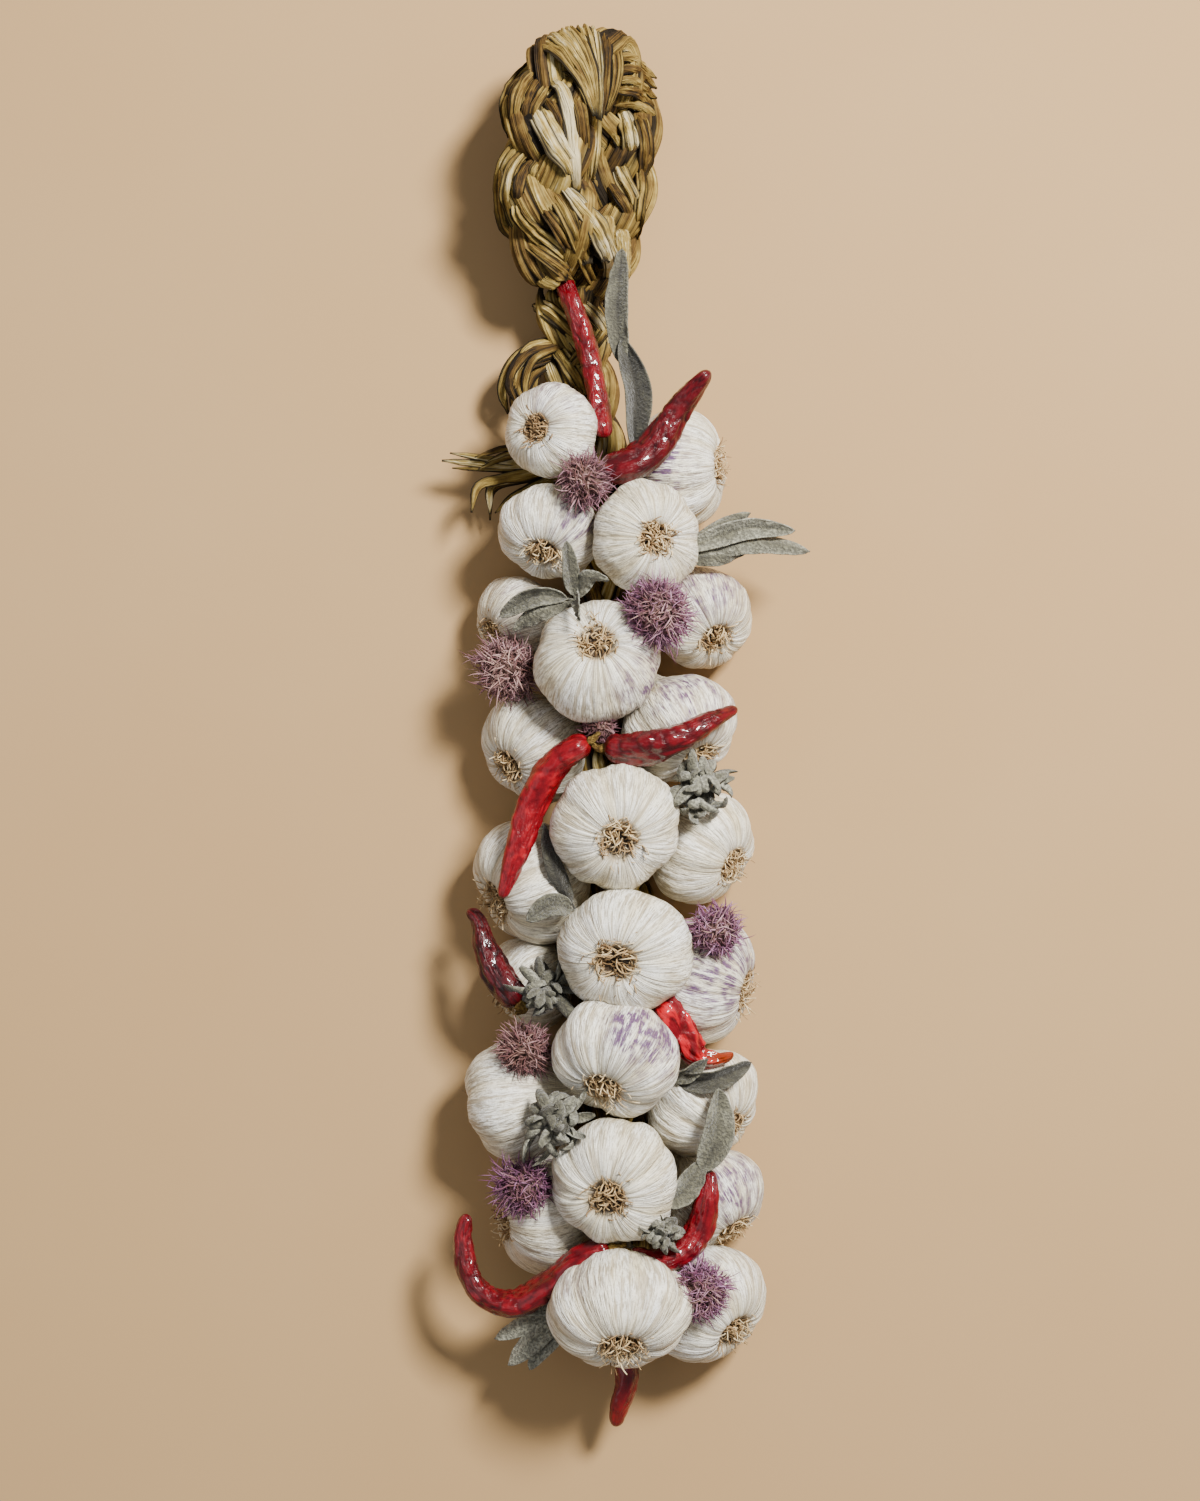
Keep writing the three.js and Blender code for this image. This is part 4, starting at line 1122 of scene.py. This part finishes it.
# %% A core
def lumpy_core(at, size, depth, lump_size, seed, **notes):
    """A ball stretched to its size, with lumps of a depth and size of their own."""
    bm = bmesh.new()
    bmesh.ops.create_icosphere(bm, subdivisions=3, radius=0.5)
    mesh = mesh_of(bm)
    places = corners(mesh) * np.array(size)
    places = places * (1 + depth * waves(places, lump_size, seed))[:, None] + np.array(at)
    return move_to(mesh, places, **{key: np.full(len(places), value) for key, value in notes.items()})


# %% Flower heads
PETALS = 700  # on a head with a radius of 13


def spike_outline(x, y, z):
    taper = np.sin(math.pi * (0.12 + 0.86 * z))
    return x * taper, y * 0.5 * taper


spike = thread(3, 5, spike_outline)
for number, (at, radius, purple, pale) in enumerate(FLOWERS, 1):
    rng = np.random.default_rng(800 + number)
    count = int(PETALS * (radius / 13) ** 1.6)
    ways = unit(rng.normal(size=(count, 3)))
    ways[:, 2] = np.abs(ways[:, 2]) * 1.1 - 0.35
    ways = unit(ways)
    starts = np.array(at) + ways * radius * 0.5
    lengths = radius * rng.uniform(0.42, 0.9, count) * (1 + 0.22 * waves(ways, 1.1, 870 + number))
    lean = unit(ways + rng.normal(0, 0.5, (count, 3)))
    hue = purple * np.clip(1.25 - 0.9 * ways[:, 2] ** 2 + rng.normal(0, 0.2, count), 0, 1.3)
    petals = grown(spike, starts, lean, lengths, rng.uniform(0.22, 0.55, count), rng.uniform(0.2, 3.0, count),
                   rng.uniform(-1.5, 1.5, count), rng, tone=pale * rng.beta(1.0, 1.3, count), purple=hue)
    core = lumpy_core(at, radius * 1.2, 0.1, radius * 0.5, 850 + number, tone=0.0, purple=purple, along=0.0)
    name = f"flower_{number:02d}"
    finish_piece(f"{name}_head", [petals, core], petal, [name])

# %% [markdown]
# ## The sage
# A sage leaf is a long oval on a thin stalk, folded along its middle rib, and it curls as it dries. Each
# is a grid cupped along its line, with a wall. The tufts are shoot tips: many small curled leaves from one
# heart.


# %% Sprigs
SAGE_COLUMNS, SAGE_RINGS, SAGE_WALL = 14, 40, 0.55


def sage(path, width, pale, seed):
    """One leaf of sage along a path."""
    rng = np.random.default_rng(seed)
    mesh, u, v = unit_sheet(SAGE_COLUMNS, SAGE_RINGS)
    row = np.rint(v * SAGE_RINGS).astype(int)
    line = smooth_line(path, SAGE_RINGS + 1)
    ahead = unit(np.gradient(line, axis=0))
    _, side, face = frames(line, unit(np.cross(ahead[0], (0, 0, 1))))
    roll = 0.35 * np.sin(3 * np.linspace(0, 1, SAGE_RINGS + 1) + rng.uniform(0, 6))
    side, face = rolled_over(side, face, roll)
    blade = np.clip((v - 0.1) / 0.9, 0, 1)
    half = width / 2 * np.maximum(0.13 * (1 - 0.5 * v), np.sin(math.pi * blade ** 0.9) ** 0.55)
    half = half * (1 - 0.98 * ease(v, 0.97, 1.0))
    x = 2 * u - 1
    fold = rng.uniform(0.35, 0.75)
    cup = half * (fold * np.abs(x) - 0.15 * fold) * (1 if rng.uniform() > 0.3 else -0.8)
    ripple = 0.5 * waves(np.stack([x * half, v * 50, x * 0], axis=1), (5, 7, 9), seed + 1) * np.abs(x)
    spanned = np.sin(x * (0.9 + 0.5 * fold)) / (0.9 + 0.5 * fold)
    places = line[row] + side[row] * (spanned * half)[:, None] + face[row] * (cup + ripple)[:, None]
    tone = pale - 0.25 * (1 - np.abs(x)) ** 6 + 0.25 * x ** 4 - 0.1
    return closed(move_to(mesh, places, tone=tone), SAGE_WALL)


for number, (name, leaves) in enumerate(SPRIGS.items()):
    made = [sage(*leaf, 900 + 10 * number + k) for k, leaf in enumerate(leaves)]
    finish_piece(f"{name}_leaves", made, sage_leaf, [name])

# %% Tufts
LEAVES = 34


def small_outline(x, y, z):
    swell = np.sin(math.pi * (0.1 + 0.85 * z))
    return x * np.sin(math.pi * (0.08 + 0.88 * z)) ** 0.55, y * 0.12 * swell + 0.8 * x * x * swell


small_leaf = thread(8, 8, small_outline)
for number, (name, (at, size, pale)) in enumerate(TUFTS.items()):
    rng = np.random.default_rng(950 + number)
    ways = unit(rng.normal(size=(LEAVES, 3)) + (0, 0, 0.8))
    starts = np.array(at) + ways * np.array(size) * 0.35
    lengths = rng.uniform(0.75, 1.2, LEAVES) * np.mean(size[:2])
    leaves = grown(small_leaf, starts, ways, lengths, rng.uniform(2.0, 3.8, LEAVES),
                   rng.uniform(0.8, 3.6, LEAVES), rng.uniform(-0.8, 0.8, LEAVES), rng, rim=0.6,
                   tone=pale - 0.3 + rng.uniform(-0.25, 0.25, LEAVES))
    core = lumpy_core(at, size, 0.15, 6, 970 + number, tone=0.1, along=0.0)
    finish_piece(f"{name}_leaves", [leaves, core], sage_leaf, [name])

# %% [markdown]
# ## Light, floor and camera
# The braid lies on a pale floor and is seen from straight above. One soft light from the upper right gives
# each bulb its shadow side, and a weak pale sky fills the rest.

# %% Floor
FLOOR_WIDTH, FLOOR_DROP = 6, 0.0004  # in metres
bpy.ops.mesh.primitive_plane_add(size=FLOOR_WIDTH, location=(0, 0, -FLOOR_DROP))
floor = bpy.context.object
floor.name = "floor"
floor_paint, tree, shader = new_finish("pale floor", Roughness=0.9)
cloud = place_effect(tree, blotches, Size=260.0, Contrast=1.0)
warm_grey = blend_colours(tree, cloud, (0.385, 0.23, 0.093), (0.415, 0.27, 0.13))
paint(tree, shader, warm_grey)
floor.data.materials.append(floor_paint)


# %% Lights
def soft_light(name, place, size, power, tint):
    light = bpy.data.lights.new(name, "AREA")
    light.size, light.energy, light.color = size, power, tint
    lamp = bpy.data.objects.new(name, light)
    lamp.location = place
    aim = -lamp.location.normalized()
    lamp.rotation_mode = "QUATERNION"
    lamp.rotation_quaternion = aim.to_track_quat("-Z", "Y")
    bpy.context.scene.collection.objects.link(lamp)


soft_light("key light", (0.75, 0.85, 1.5), 0.4, 108, (1.0, 0.98, 0.94))
soft_light("fill light", (-1.2, -0.3, 1.4), 1.6, 6, (0.95, 0.97, 1.0))
world = bpy.data.worlds.new("pale sky")
bpy.context.scene.world = world
world.use_nodes = True
world.node_tree.nodes["Background"].inputs[0].default_value = (0.95, 0.96, 1.0, 1)
world.node_tree.nodes["Background"].inputs[1].default_value = 0.35

# %% Camera
CAMERA_HEIGHT = 1.4
VIEW_ANGLE = math.radians(28)  # over the tall side of the frame
eye = bpy.data.cameras.new("camera")
eye.lens = eye.sensor_width / 2 / math.tan(VIEW_ANGLE / 2)
camera = bpy.data.objects.new("camera", eye)
camera.location = (-0.013, -0.010, CAMERA_HEIGHT)
bpy.context.scene.collection.objects.link(camera)
bpy.context.scene.camera = camera
print("camera lens:", round(eye.lens, 1))
